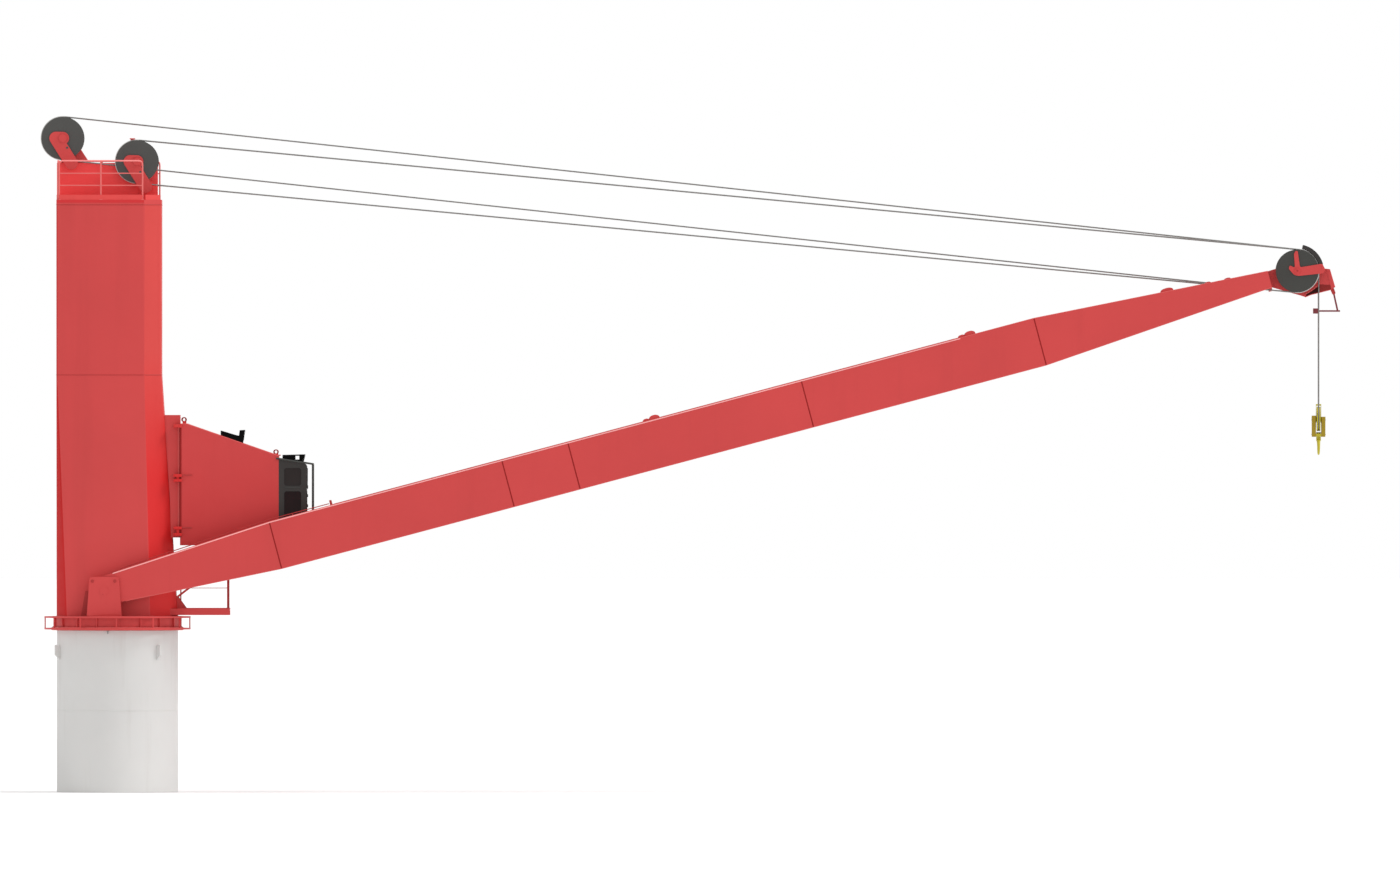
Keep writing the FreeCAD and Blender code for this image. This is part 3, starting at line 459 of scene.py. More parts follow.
def make_wires():
    """Hoist and luffing wires from the roof to the head, and the falls to the hook block."""
    made = {"hoist_wires": [], "luffing_wires": [], "hoist_falls": []}
    for side, word in NAMED_SIDES:
        for kind, axis, line_y in (("hoist", REAR_AXIS, HOIST_Y), ("luffing", FRONT_AXIS, LUFFING_Y)):
            for sign, level in ((1, "upper"), (-1, "lower")):
                start, end = tangent(axis, HEAD, side * line_y, sign)
                if (kind, level) == ("hoist", "lower"):
                    end = start + (end - start) * ((SOCKET_X + SOCKET_DEPTH - start.x) / (end.x - start.x))
                made[f"{kind}_wires"].append(
                    stretched_wire(f"{level}_{kind}_wire_{word}", start, end))
        top, foot = (Vector((BLOCK.x, side * HOIST_Y, z)) for z in (HEAD.z, BLOCK.z))
        made["hoist_falls"].append(stretched_wire(f"hoist_fall_{word}", top, foot))
    for node, wires in made.items():
        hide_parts(node)


# House
DECK_LOW, DECK_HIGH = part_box("roof_deck")
RING_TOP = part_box("base_ring")[1].z
UPPER_HOUSE_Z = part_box("upper_house")[0].z
CHAMFER_X = 0.678
CHAMFER_Y = 0.709
FOOT_OUTLINE = ((-1.497, 0.64), (-1.257, 1.05), (0.814, 1.05), (1.497, 0.5))
TOP_OUTLINE = ((-1.497, 1.05), (CHAMFER_X, 1.05), (1.101, CHAMFER_Y))
HOUSE_LEVELS = ((FOOT_OUTLINE, RING_TOP), (TOP_OUTLINE, UPPER_HOUSE_Z), (TOP_OUTLINE, DECK_LOW.z))
CORNER_ROUNDING = 0.045
BEAD_RADIUS = 0.009
FACING_FRONT = 0.35


def full_outline(half, z):
    return [Vector((x, y, z)) for x, y in half] + [Vector((x, -y, z)) for x, y in reversed(half)]


def make_house_shell():
    """The plated house with bent corners, in place of its two plain blocks."""
    bm = bmesh.new()
    lines = [full_outline(*level) for level in HOUSE_LEVELS]
    foot, waist, roof = ([bm.verts.new(point) for point in line] for line in lines)
    foot_of = [(0, 1), (2,), (3,), (4,), (5,), (6, 7)]
    bm.faces.new(foot[::-1])
    bm.faces.new(roof)
    count = len(waist)
    for i in range(count):
        j = (i + 1) % count
        bm.faces.new((waist[i], waist[j], roof[j], roof[i]))
        here, there = foot_of[i][-1], foot_of[j][0]
        bm.faces.new((foot[here], foot[there], waist[j], waist[i]))
    bm.faces.new((foot[0], foot[1], waist[0]))
    bm.faces.new((foot[6], foot[7], waist[5]))
    bm.edges.ensure_lookup_table()
    upright = [edge for edge in bm.edges if abs(edge.verts[0].co.z - edge.verts[1].co.z) > 1]
    bmesh.ops.bevel(bm, geom=upright, offset=CORNER_ROUNDING, segments=3, profile=0.5, affect="EDGES")
    shell = piece("house_shell", bm)
    # Faces turned to the front take the painted-light coat, faces turned to the rear the painted-shade coat
    recoat(shell, RED_FRONT_LIT, lambda face: face.normal.x > FACING_FRONT)
    recoat(shell, RED_REAR_SHADED, lambda face: face.normal.x < -FACING_FRONT)
    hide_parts("lower_house", "upper_house")
    bm = bmesh.new()
    for line in lines:
        add_tube(bm, rounded(line + line[:1], CORNER_ROUNDING), BEAD_RADIUS, 6)
    piece("house_weld_beads", bm, RED_DEEP)


RAIL_HEIGHTS = (0.358, 0.657, 0.967)
RAIL_RADIUS = 0.019
RAIL_INSET = 0.04
RAIL_GAP = 0.03
RAIL_BEND = 0.11
RAIL_FOOT = Vector((0.035, 0.035, 0))
RAIL_FOOT_RISE = 0.012
INNER_RAIL_SHARE = 0.7
RAIL_CORNER_X = CHAMFER_X - 0.014
RAIL_CORNER_Y = CHAMFER_Y - 0.019
REAR_OPENING = 0.47
TOE_HEIGHT = 0.126
TOE_FACES = (0.022, 0.034)
DECK_SHADE_X = (DECK_LOW.x + 0.01, CHAMFER_X - 0.01)
DECK_SHADE_FACES = (-0.004, 0.003)
DECK_SHADE_LEVELS = (-0.07, -0.002)


def add_rail_frame(bm, start, end, base, heights, radius, posts=()):
    """One bent tube as frame, with inner rails, posts and foot plates."""
    low, high = UP * base, UP * (base + heights[-1])
    add_tube(bm, rounded([start + low, start + high, end + high, end + low], RAIL_BEND, 6), radius)
    for height in heights[:-1]:
        lift = UP * (base + height)
        add_rod(bm, start + lift, end + lift, radius * INNER_RAIL_SHARE, 12)
    for post in posts:
        add_rod(bm, post + low, post + high, radius, 12)
    for place in [start, end] + list(posts):
        add_box(bm, place + low - RAIL_FOOT, place + low + RAIL_FOOT + UP * RAIL_FOOT_RISE)


def make_roof_rails():
    """Railing, toe boards and a deeper red strip along the deck's side edge as painted shade under the toe boards;
    the near front corner has its toe board alone.
    """
    deck = DECK_HIGH.z
    rear, side = DECK_LOW.x + RAIL_INSET, DECK_HIGH.y - RAIL_INSET
    for sign, word in NAMED_SIDES:
        places = [Vector((x, sign * y, 0)) for x, y in
                  ((rear, REAR_OPENING), (rear, side), (RAIL_CORNER_X, side),
                   (DECK_HIGH.x - RAIL_INSET, RAIL_CORNER_Y))]
        bm, boards = bmesh.new(), bmesh.new()
        for index, (a, b) in enumerate(zip(places, places[1:])):
            run = (b - a).normalized()
            start, end = a + run * RAIL_GAP, b - run * RAIL_GAP
            posts = [start.lerp(end, 0.5)] if index == 1 else []
            if word == "left" or index < 2:
                add_rail_frame(bm, start, end, deck, RAIL_HEIGHTS, RAIL_RADIUS, posts)
            out = Vector((-run.y, run.x, 0)) * sign
            near, far = (out * face + UP * deck for face in TOE_FACES)
            add_prism(boards, [start + near, end + near, end + far, start + far], UP * TOE_HEIGHT)
        rails = piece(f"roof_rails_{word}", bm, RED_RAIL_HIGHLIGHT)
        # The top rail takes the paler painted highlight
        recoat(rails, RED_TOP_RAIL_HIGHLIGHT, lambda face: face.center.z > deck + RAIL_HEIGHTS[-1] - RAIL_RADIUS)
        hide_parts(f"{word}_roof_railing")
        piece(f"toe_boards_{word}", boards, RED_TOE_LIT)
        edge = bmesh.new()
        add_side_box(edge, sign, DECK_SHADE_X, [DECK_HIGH.y + face for face in DECK_SHADE_FACES],
                     [deck + level for level in DECK_SHADE_LEVELS])
        piece(f"deck_edge_shade_{word}", edge, RED_DECK_SHADE_LINE)


SHEAVE_HUB = 0.15
SHEAVE_RIM_INNER = 0.424
SHEAVE_FACE = 0.0445
COVER_DEPTH = 0.006


def add_annulus(bm, centre, axis, inner, outer, thickness, sides=64):
    """A flat ring whose face lies at the centre, with its thickness behind it."""
    loops = [[bm.verts.new(point) for point in ring_points(centre - axis * depth, axis, radius, sides)]
             for radius, depth in ((inner, 0.0), (outer, 0.0), (outer, thickness), (inner, thickness))]
    join_loops(bm, loops + loops[:1])


COVERED = (
    ("rear_sheaves", REAR_AXIS, HOIST_Y, DARK),
    ("front_sheaves", FRONT_AXIS, LUFFING_Y, DARK),
    ("head_hoist_sheaves", HEAD, HOIST_Y, DARK_HEAD),
    ("head_luffing_sheaves", HEAD, LUFFING_Y, DARK_HEAD),
)


def make_sheave_faces():
    """Plain cover plates between hub and rim of the roof and head sheaves."""
    for body, axis, line_y, coat in COVERED:
        bm = bmesh.new()
        for line in (line_y, -line_y):
            for side in SIDES:
                centre = Vector((axis.x, line + side * SHEAVE_FACE, axis.z))
                add_annulus(bm, centre, Vector((0, side, 0)), SHEAVE_HUB, SHEAVE_RIM_INNER, COVER_DEPTH)
        piece(f"{body}_covers", bm, coat, body, slot="sheave_paint")


# Sheave arms: axis, outer face and hole of each
ARMS = ((REAR_AXIS, 0.36, (-1.242, 15.943)), (FRONT_AXIS, 0.51, (0.572, 15.342)))
ARM_HOLE_RADIUS = 0.028
ARM_HOLE_DEPTH = 0.004
KEEPER_STANDOFF = 0.02
KEEPER_DEPTH = 0.012
KEEPER_RADIUS = 0.1
KEEPER_BOLTS = 6
KEEPER_PITCH = 0.127
KEEPER_BOLT = 0.012
STRUT_OUTLINE = ((0.3, 15.66), (0.345, 15.66), (0.4, 16.17), (0.33, 16.17))
STRUT_Y = (0.352, 0.364)
STRUT_CAP = ((0.309, 0.433), (0.352, 0.47), (16.154, 16.178))
GUSSET_OUTLINE = ((-1.38, 15.57), (-1.22, 16.12), (-0.98, 16.02), (-0.72, 15.62), (-0.72, 15.57))
GUSSET_Y = (0.12, 0.15)


def make_arm_fittings():
    """Keeper plates and bolts on the sheave arms, with the gussets between the rear ones."""
    bm, dark = bmesh.new(), bmesh.new()
    for sign in SIDES:
        out = Vector((0, sign, 0))
        for axis, face, hole in ARMS:
            hub = Vector((axis.x, sign * face, axis.z))
            keeper = hub + out * KEEPER_STANDOFF
            add_rod(bm, keeper, keeper + out * KEEPER_DEPTH, KEEPER_RADIUS, 24)
            for place in ring_points(hub, out, KEEPER_PITCH, KEEPER_BOLTS):
                add_bolt(bm, place, out, KEEPER_BOLT)
            # Dark discs on the arms stand in for the shade inside holes: painted shade
            place = Vector((hole[0], sign * face, hole[1]))
            add_rod(dark, place, place + out * ARM_HOLE_DEPTH, ARM_HOLE_RADIUS, 20)
        side_plate(bm, sign, STRUT_OUTLINE, STRUT_Y)
        add_side_box(bm, sign, *STRUT_CAP)
        side_plate(bm, sign, GUSSET_OUTLINE, GUSSET_Y)
    piece("arm_fittings", bm, bevel=0.003)
    piece("arm_holes", dark, slot="sheave_paint")


# Jib foot, base ring and pedestal
FOOT_HALF_LOW = 0.43
FOOT_HALF_HIGH = 0.362
FOOT_RISE = 0.344
FOOT_CORNER = 0.09
FOOT_BASE = 0.025
EAR_DEPTH = 0.05
EAR_FACES = (1.05, 1.44)
FOOT_RIB = ((-0.58, 0), (-0.43, 0), (-0.4, 0.62), (-0.47, 0.62))
FOOT_RIB_Y = (1.05, 1.09)
FOOT_BOLTS = ((-0.29, 0.236, 0.042), (0.265, 0.236, 0.042), (-0.03, -0.09, 0.016))


def make_foot_brackets():
    """Ears with rounded upper corners on a base plate, with bolts and ribs."""
    bm, bolts, ribs = (bmesh.new() for i in range(3))
    low, top = RING_TOP + FOOT_BASE, PIVOT.z + FOOT_RISE
    outer = EAR_FACES[1] + EAR_DEPTH
    corners = ((-FOOT_HALF_LOW, low), (-FOOT_HALF_HIGH, top), (FOOT_HALF_HIGH, top), (FOOT_HALF_LOW, low))
    line = at_y(0, [(PIVOT.x + x, z) for x, z in corners])
    outline = [(point.x, point.z) for point in rounded(line, FOOT_CORNER, 6)]
    for sign in SIDES:
        for face in EAR_FACES:
            side_plate(bm, sign, outline, (face, face + EAR_DEPTH))
        add_side_box(bm, sign, (PIVOT.x - FOOT_HALF_LOW, PIVOT.x + FOOT_HALF_LOW), (EAR_FACES[0], outer),
                     (RING_TOP, low))
        side_plate(ribs, sign, [(PIVOT.x + x, RING_TOP + z) for x, z in FOOT_RIB], FOOT_RIB_Y)
        for x, z, size in FOOT_BOLTS:
            add_bolt(bolts, Vector((PIVOT.x + x, sign * outer, PIVOT.z + z)), Vector((0, sign, 0)), size)
    ears = piece("foot_ears", bm, bevel=0.006)
    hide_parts("foot_brackets")
    piece("foot_bolts", bolts, RED_DEEP)
    piece("foot_ribs", ribs, RED_DEEP)


RING_RADIUS = 1.62
RING_BOTTOM = 4.005
FLANGE_TOP = 4.085
FLANGE_BOLTS = 48
BOLT_CIRCLE = 1.592
RING_BOLT = 0.024
RING_BEADS = ((RING_TOP, -0.012), (RING_BOTTOM, 0.014), (FLANGE_TOP, -0.012))
PEG_ANGLES = (-98.0, 22.0, 142.0)
PEG_CIRCLE = 1.575
PEG_RODS = ((0.02, -0.085, 0.016, 12), (0.0, -0.03, 0.028, 6))
PEDESTAL_RADIUS = 1.5
WELD_LEVELS = (0.012, 2.02)
WELD_RADIUS = 0.007


def make_base_fittings():
    """Bolts on the ring's flange, its edges in pale red as a painted highlight, the pegs below it and the
    pedestal's welds.
    """
    bolts = bmesh.new()
    for i in range(FLANGE_BOLTS):
        place = on_circle(BOLT_CIRCLE, 2 * pi * (i + 0.5) / FLANGE_BOLTS, FLANGE_TOP)
        add_bolt(bolts, place, UP, RING_BOLT)
    piece("ring_bolts", bolts, RED_DEEP)
    trims = bmesh.new()
    for edge, inset in RING_BEADS:
        add_tube(trims, circle_line(RING_RADIUS, edge + inset), abs(inset), 8)
    piece("ring_edges", trims, RED_HIGHLIT_EDGES)
    pegs = bmesh.new()
    for angle in PEG_ANGLES:
        place = on_circle(PEG_CIRCLE, radians(angle), RING_BOTTOM)
        for high, low, radius, sides in PEG_RODS:
            add_rod(pegs, place + UP * high, place + UP * low, radius, sides)
    piece("ring_pegs", pegs, slot="pin_steel")
    welds = bmesh.new()
    for z in WELD_LEVELS:
        add_tube(welds, circle_line(PEDESTAL_RADIUS, z), WELD_RADIUS, 6)
    piece("pedestal_welds", welds, body="pedestal", slot="pedestal_paint")


# Cab
CAB_REAR = 1.557
CAB_FRONT = 3.997
CAB_NOSE = 4.69
CAB_HALF = 0.75
CAB_FLOOR = 6.11
CAB_RIDGE_X = 1.72
CAB_RIDGE = 9.108
CAB_FRONT_TOP = 8.316
WINDOW_X = (4.127, 4.56)
WINDOW_LEVELS = ((6.36, 7.45), (7.574, 8.026))
GASKET_OUTER_CORNER = 0.03
GASKET_INNER_CORNER = 0.06
TRIM_X = (WINDOW_X[0] + 0.035, WINDOW_X[1] - 0.035)
TRIM_Y = (CAB_HALF - 0.01, CAB_HALF + 0.012)
TRIM_LEVELS = (7.53, 7.546)
NOSE_PANE_INSET = 0.13
WIPER_FOOT = Vector((CAB_NOSE + 0.012, 0.05, WINDOW_LEVELS[1][0] - 0.05))
WIPER_TIP = Vector((CAB_NOSE + 0.012, 0.3, WINDOW_LEVELS[1][1] - 0.1))
# Arm, blade and hub of the wiper: ends, radius and sides
WIPER_RODS = (
    (WIPER_FOOT, WIPER_TIP, 0.006, 8),
    (WIPER_TIP - Vector((0, 0.02, 0.22)), WIPER_TIP + Vector((0, 0.03, 0.09)), 0.007, 8),
    (WIPER_FOOT - Vector((0.02, 0, 0)), WIPER_FOOT + Vector((0.012, 0, 0)), 0.022, 12),
)
CLAMP_X = (CAB_NOSE - 0.005, CAB_NOSE + 0.022)
CLAMP_LEVELS = (7.05, 7.3, 7.52)
CLAMP_Y = (0.6, 0.7)
CLAMP_HEIGHT = 0.07


def rounded_rectangle(u0, u1, v0, v1, radius, steps=5):
    corners = ((u1 - radius, v1 - radius, 0), (u0 + radius, v1 - radius, 90),
               (u0 + radius, v0 + radius, 180), (u1 - radius, v0 + radius, 270))
    points = []
    for u, v, first in corners:
        for i in range(steps + 1):
            a = radians(first + 90 * i / steps)
            points.append((u + radius * cos(a), v + radius * sin(a)))
    return points


def add_gasket(bm, place, u0, u1, v0, v1, out, width=0.014, depth=0.004):
    """A rubber frame with rounded corners round a pane; place turns (u, v) into a point on the wall."""
    inset = width / 2
    outer = rounded_rectangle(u0 - width, u1 + width, v0 - width, v1 + width, GASKET_OUTER_CORNER)
    inner = rounded_rectangle(u0 + inset, u1 - inset, v0 + inset, v1 - inset, GASKET_INNER_CORNER)
    loops = [[bm.verts.new(place(u, v) + out * rise) for u, v in line]
             for line, rise in ((outer, 0.0), (outer, depth), (inner, depth), (inner, 0.0))]
    join_loops(bm, loops + loops[:1])


def make_cab_front():
    """Gaskets and trims of the panes, and the wiper and clamps on the nose."""
    gaskets, trims, wiper = (bmesh.new() for i in range(3))
    for low, high in WINDOW_LEVELS:
        for sign in SIDES:
            add_gasket(gaskets, lambda u, v, y=sign * CAB_HALF: Vector((u, y, v)),
                       *WINDOW_X, low, high, Vector((0, sign, 0)))
        add_gasket(gaskets, lambda u, v: Vector((CAB_NOSE, u, v)), NOSE_PANE_INSET - CAB_HALF,
                   CAB_HALF - NOSE_PANE_INSET, low, high, Vector((1, 0, 0)))
    for rod in WIPER_RODS:
        add_rod(wiper, *rod)
    for sign in SIDES:
        add_side_box(trims, sign, TRIM_X, TRIM_Y, TRIM_LEVELS)
        for z in CLAMP_LEVELS:
            add_side_box(wiper, sign, CLAMP_X, CLAMP_Y, (z, z + CLAMP_HEIGHT))
    piece("window_gaskets", gaskets, slot="cab_black")
    piece("window_trims", trims, GREY, slot="cab_black")
    piece("front_wiper_and_clamps", wiper, bevel=0.004, slot="cab_black")


def roof_height(x):
    share = (x - CAB_RIDGE_X) / (CAB_FRONT - CAB_RIDGE_X)
    return CAB_RIDGE + share * (CAB_FRONT_TOP - CAB_RIDGE)


# Floodlights: outlines seen from the side
FITTING_Y = 0.62
LAMP_WIDTH = 0.22
LAMP_SKIN = 0.014
LENS_INSET = 0.03
ROOF_LAMP_CHEEK = ((2.562, roof_height(2.562)), (2.562, 8.945), (2.926, 8.836), (3.012, 8.816),
                   (3.032, 8.955), (3.153, 8.962), (3.101, roof_height(3.101)))
ROOF_LAMP_BODY = (((3.045, 8.72), (3.032, 8.955), (3.153, 8.962), (3.12, 8.7)),
                  ((2.562, roof_height(2.562)), (2.562, 8.86), (3.03, 8.73), (3.03, roof_height(3.03))))
FRONT_LAMP_BODY = (((4.09, 8.2), (4.09, 8.345), (4.4, 8.352), (4.4, 8.15)),
                   ((4.39, 8.15), (4.39, 8.23), (4.52, 8.23), (4.52, 8.13)),
                   ((4.39, 8.32), (4.39, 8.352), (4.52, 8.354), (4.52, 8.32)),
                   ((4.505, 8.125), (4.505, 8.356), (4.646, 8.358), (4.585, 8.125)))
LENSES = (((3.112, 8.73), (3.15, 8.94), (3.157, 8.94), (3.119, 8.73)),
          ((4.598, 8.17), (4.638, 8.33), (4.645, 8.33), (4.605, 8.17)))


def make_cab_lamps():
    black, lenses = bmesh.new(), bmesh.new()
    for y in (-FITTING_Y, FITTING_Y):
        near, far = y - LAMP_WIDTH / 2, y + LAMP_WIDTH / 2
        plate_xz(black, ROOF_LAMP_CHEEK, near, near + LAMP_SKIN)
        plate_xz(black, ROOF_LAMP_CHEEK, far - LAMP_SKIN, far)
        for outline in ROOF_LAMP_BODY:
            plate_xz(black, outline, near + LAMP_SKIN, far - LAMP_SKIN)
        for outline in FRONT_LAMP_BODY:
            plate_xz(black, outline, near, far)
        for outline in LENSES:
            plate_xz(lenses, outline, near + LENS_INSET, far - LENS_INSET)
    piece("cab_lamps", black, LAMP_BLACK, bevel=0.004, slot="cab_black")
    piece("cab_lamp_lenses", lenses, slot="cab_glass")


# Lifting eyes (place and foot, with the corners of stem and pad from them), and the joint to the house
EYES = ((1.648, 9.217, CAB_RIDGE), (3.923, 8.418, roof_height(3.923)))
EYE_RADIUS = 0.05
EYE_THICKNESS = 0.012
EYE_STEM = (Vector((-0.03, -0.018, -0.01)), Vector((0.05, 0.018, -0.04)))
EYE_PAD = (Vector((-0.09, -0.05, -0.02)), Vector((0.11, 0.05, 0.008)))
JOINT_INNER = 0.6
FLANGE_LEVELS = (CAB_FLOOR + 0.2, CAB_RIDGE - 0.02)
HOUSE_FLANGE = ((1.5, 1.54), (0.59, 0.655))
CAB_FLANGE = ((1.56, 1.59), (0.59, 0.762))
JOINT_GAP = ((1.54, 1.56), (JOINT_INNER, 0.735), (CAB_FLOOR + 0.19, CAB_RIDGE))
HINGE_LEVELS = ((9.02, 9.1), (7.8, 7.87), (7.68, 7.745), (6.5, 6.57), (6.34, 6.41))
HINGE_X = (1.398, 1.6)
HINGE_Y = (JOINT_INNER, 0.84)
HINGE_BOLTS = (1.44, 1.53)
HINGE_BOLT = 0.022
KNUCKLE_LEVELS = ((7.745, 7.8), (6.41, 6.5))
KNUCKLE_X = (1.47, 1.54)
KNUCKLE_Y = (JOINT_INNER, 0.8)
BAR_LEVELS = ((7.83, 7.86), (6.53, 6.56))
BAR_X = (1.59, 1.85)
BAR_Y = (0.74, 0.775)
CAB_LIPS = (
    (0.014, ((CAB_REAR, CAB_RIDGE), (CAB_RIDGE_X, CAB_RIDGE), (CAB_FRONT, CAB_FRONT_TOP))),
    (0.012, ((CAB_REAR, CAB_FLOOR + 0.01), (CAB_FRONT, CAB_FLOOR + 0.01))),
)
CAB_LIP_INSET = 0.012


def make_cab_fittings():
    """Lifting eyes, the bolted joint to the house, and the cab's panel edges and the house's flange in pale red as
    painted highlights.
    """
    plates, eyes, bars, joint, edge, bolts = (bmesh.new() for i in range(6))
    for y in (-FITTING_Y, FITTING_Y):
        for x, z, foot in EYES:
            centre, base = Vector((x, y, z)), Vector((x, y, foot))
            ring = ring_points(centre, Vector((0, 1, 0)), EYE_RADIUS, 24)
            add_tube(eyes, ring + ring[:1], EYE_THICKNESS, 8)
            add_box(plates, base + EYE_STEM[0], centre + EYE_STEM[1])
            add_box(plates, base + EYE_PAD[0], base + EYE_PAD[1])
    for sign in SIDES:
        out = Vector((0, sign, 0))
        add_side_box(edge, sign, *HOUSE_FLANGE, FLANGE_LEVELS)
        add_side_box(joint, sign, *CAB_FLANGE, FLANGE_LEVELS)
        add_side_box(joint, sign, *JOINT_GAP)
        for levels in HINGE_LEVELS:
            add_side_box(plates, sign, HINGE_X, HINGE_Y, levels)
            for x in HINGE_BOLTS:
                add_bolt(bolts, Vector((x, sign * HINGE_Y[1], sum(levels) / 2)), out, HINGE_BOLT)
        for levels in KNUCKLE_LEVELS:
            add_side_box(plates, sign, KNUCKLE_X, KNUCKLE_Y, levels)
        for levels in BAR_LEVELS:
            add_side_box(bars, sign, BAR_X, BAR_Y, levels)
        for radius, line in CAB_LIPS:
            add_tube(edge, at_y(sign * (CAB_HALF - CAB_LIP_INSET), line), radius, 8)
    piece("cab_eyes", eyes, RED_SEAM)
    piece("cab_bars", bars, RED_DEEP, bevel=0.004)
    # Dark red fills the gap between house and cab and the cab's flange beside it: painted shade
    piece("cab_joint_gap", joint, RED_SEAM)
    # Hinge plates and their bolts take the front coat, painted light included
    piece("cab_joint_bolts", bolts, RED_FRONT_LIT)
    piece("cab_edges", edge, RED_HIGHLIT_EDGES)
    piece("cab_fittings", plates, RED_FRONT_LIT, bevel=0.004)


# Seat and consoles: ranges along x, half widths and heights over the floor
FLOOR_PLATE = 0.06
SEAT_BOXES = (((3.3, 3.5), 0.1, (0.0, 0.38)), ((3.12, 3.66), 0.26, (0.38, 0.5)))
SEAT_BACK = ((3.08, 0.46), (3.22, 0.46), (3.08, 1.18), (2.96, 1.18))
SEAT_BACK_HALF = 0.24
CONSOLE_X = (3.25, 3.85)
CONSOLE_Y = (0.32, 0.54)
CONSOLE_TOP = 0.66
LEVER_Y = 0.43
LEVER_RADIUS = 0.018
LEVER_ENDS = ((3.7, CONSOLE_TOP), (3.74, 0.84))


def make_cab_inside():
    """The operator's seat and consoles, seen through the panes."""
    bm = bmesh.new()
    floor = CAB_FLOOR + FLOOR_PLATE
    for (x0, x1), half, (low, high) in SEAT_BOXES:
        add_box(bm, (x0, -half, floor + low), (x1, half, floor + high))
    plate_xz(bm, [(x, floor + z) for x, z in SEAT_BACK], -SEAT_BACK_HALF, SEAT_BACK_HALF)
    for sign in SIDES:
        add_side_box(bm, sign, CONSOLE_X, CONSOLE_Y, (floor, floor + CONSOLE_TOP))
        add_rod(bm, *at_y(sign * LEVER_Y, [(x, floor + z) for x, z in LEVER_ENDS]), LEVER_RADIUS, 12)
    piece("operator_seat", bm, bevel=0.02, slot="cab_black")


# Service platform
PLATFORM_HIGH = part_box("service_platform")[1]
PLATFORM_TOP = 4.542
PLATFORM_REAR = 1.537
LOW_INSET = 0.028
LOW_RAILS = (0.507, 1.014)
THIN_RAIL = 0.009
GRATE_BARS = 16
GRATE_FIRST = 0.06
GRATE_LAST = 0.02
GRATE_HALF = 0.006
GRATE_HEIGHT = 0.012
SKIRT_INSET = 0.006
SKIRT_FACES = (0.014, 0.022)
SKIRT_LEVELS = (-0.02, 0.014)
BRACE_Y = 0.46
BRACE_ENDS = ((1.497, 4.84), (1.8, 5.07))
BRACE_RADIUS = 0.024
STAY_X = 1.7


def make_platform_rails():
    """Rails, grating, side plates and braces of the platform."""
    bm = bmesh.new()
    rear, front, y = PLATFORM_REAR, PLATFORM_HIGH.x - LOW_INSET, PLATFORM_HIGH.y - LOW_INSET
    corners = [Vector((rear, -y, 0)), Vector((front, -y, 0)), Vector((front, y, 0)), Vector((rear, y, 0))]
    for a, b in zip(corners, corners[1:]):
        run = (b - a).normalized() * RAIL_GAP
        add_rail_frame(bm, a + run, b - run, PLATFORM_TOP, LOW_RAILS, THIN_RAIL)
    rails = piece("platform_rails", bm, RED_DEEP)
    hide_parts("platform_railing")
    grate = bmesh.new()
    for i in range(GRATE_BARS):
        x = rear + GRATE_FIRST + (front - rear - GRATE_FIRST - GRATE_LAST) * i / (GRATE_BARS - 1)
        add_box(grate, (x - GRATE_HALF, -y, PLATFORM_TOP), (x + GRATE_HALF, y, PLATFORM_TOP + GRATE_HEIGHT))
    for sign in SIDES:
        add_side_box(grate, sign, (rear, PLATFORM_HIGH.x - SKIRT_INSET), [y + face for face in SKIRT_FACES],
                     [PLATFORM_TOP + level for level in SKIRT_LEVELS])
        foot, end = at_y(sign * BRACE_Y, BRACE_ENDS)
        add_rod(grate, foot, end, BRACE_RADIUS, 12)
        add_rod(grate, Vector((STAY_X, sign * y, PLATFORM_TOP + LOW_RAILS[0])), end, THIN_RAIL, 8)
    piece("platform_grating", grate)


# Jib
LEG_BEND = 10.326
LEG_FULL_FROM = 4.38
LEG_FULL_TO = 23.94
LEG_END = 29.83
LEG_INNER = 1.12
LEG_END_INNER = 0.49
LEG_WIDTH = 0.3
LEG_HALF_DEPTH = 0.598
LEG_FOOT_RADIUS = 0.355
LEG_END_EDGES = {1: 0.236, -1: -0.171}
SEAM_HALF = 0.014
SEAM_DEPTH = 0.003
SEAMS = (LEG_FULL_FROM, LEG_BEND, 12.014, 17.984, LEG_FULL_TO)
ALONG = Vector((cos(REST_ANGLE), 0, sin(REST_ANGLE)))
ABOVE = Vector((-sin(REST_ANGLE), 0, cos(REST_ANGLE)))


def on_jib(s, y, n):
    """A point by its way along the jib, its side and its height over the jib's axis."""
    return PIVOT + ALONG * s + ABOVE * n + Vector((0, y, 0))


def leg_inner(s):
    return LEG_INNER + max(0.0, (s - LEG_BEND) / (LEG_END - LEG_BEND)) * (LEG_END_INNER - LEG_INNER)


def leg_edge(s, side=1):
    """Height of a leg's upper (side 1) or lower (side -1) edge over the jib's axis."""
    if s < LEG_FULL_FROM:
        return side * (LEG_FOOT_RADIUS + (LEG_HALF_DEPTH - LEG_FOOT_RADIUS) * s / LEG_FULL_FROM)
    share = max(0.0, (s - LEG_FULL_TO) / (LEG_END - LEG_FULL_TO))
    return side * LEG_HALF_DEPTH + share * (LEG_END_EDGES[side] - side * LEG_HALF_DEPTH)


LIP_RADIUS = 0.011
LIP_INSET = 0.006
LIP_START = 0.45


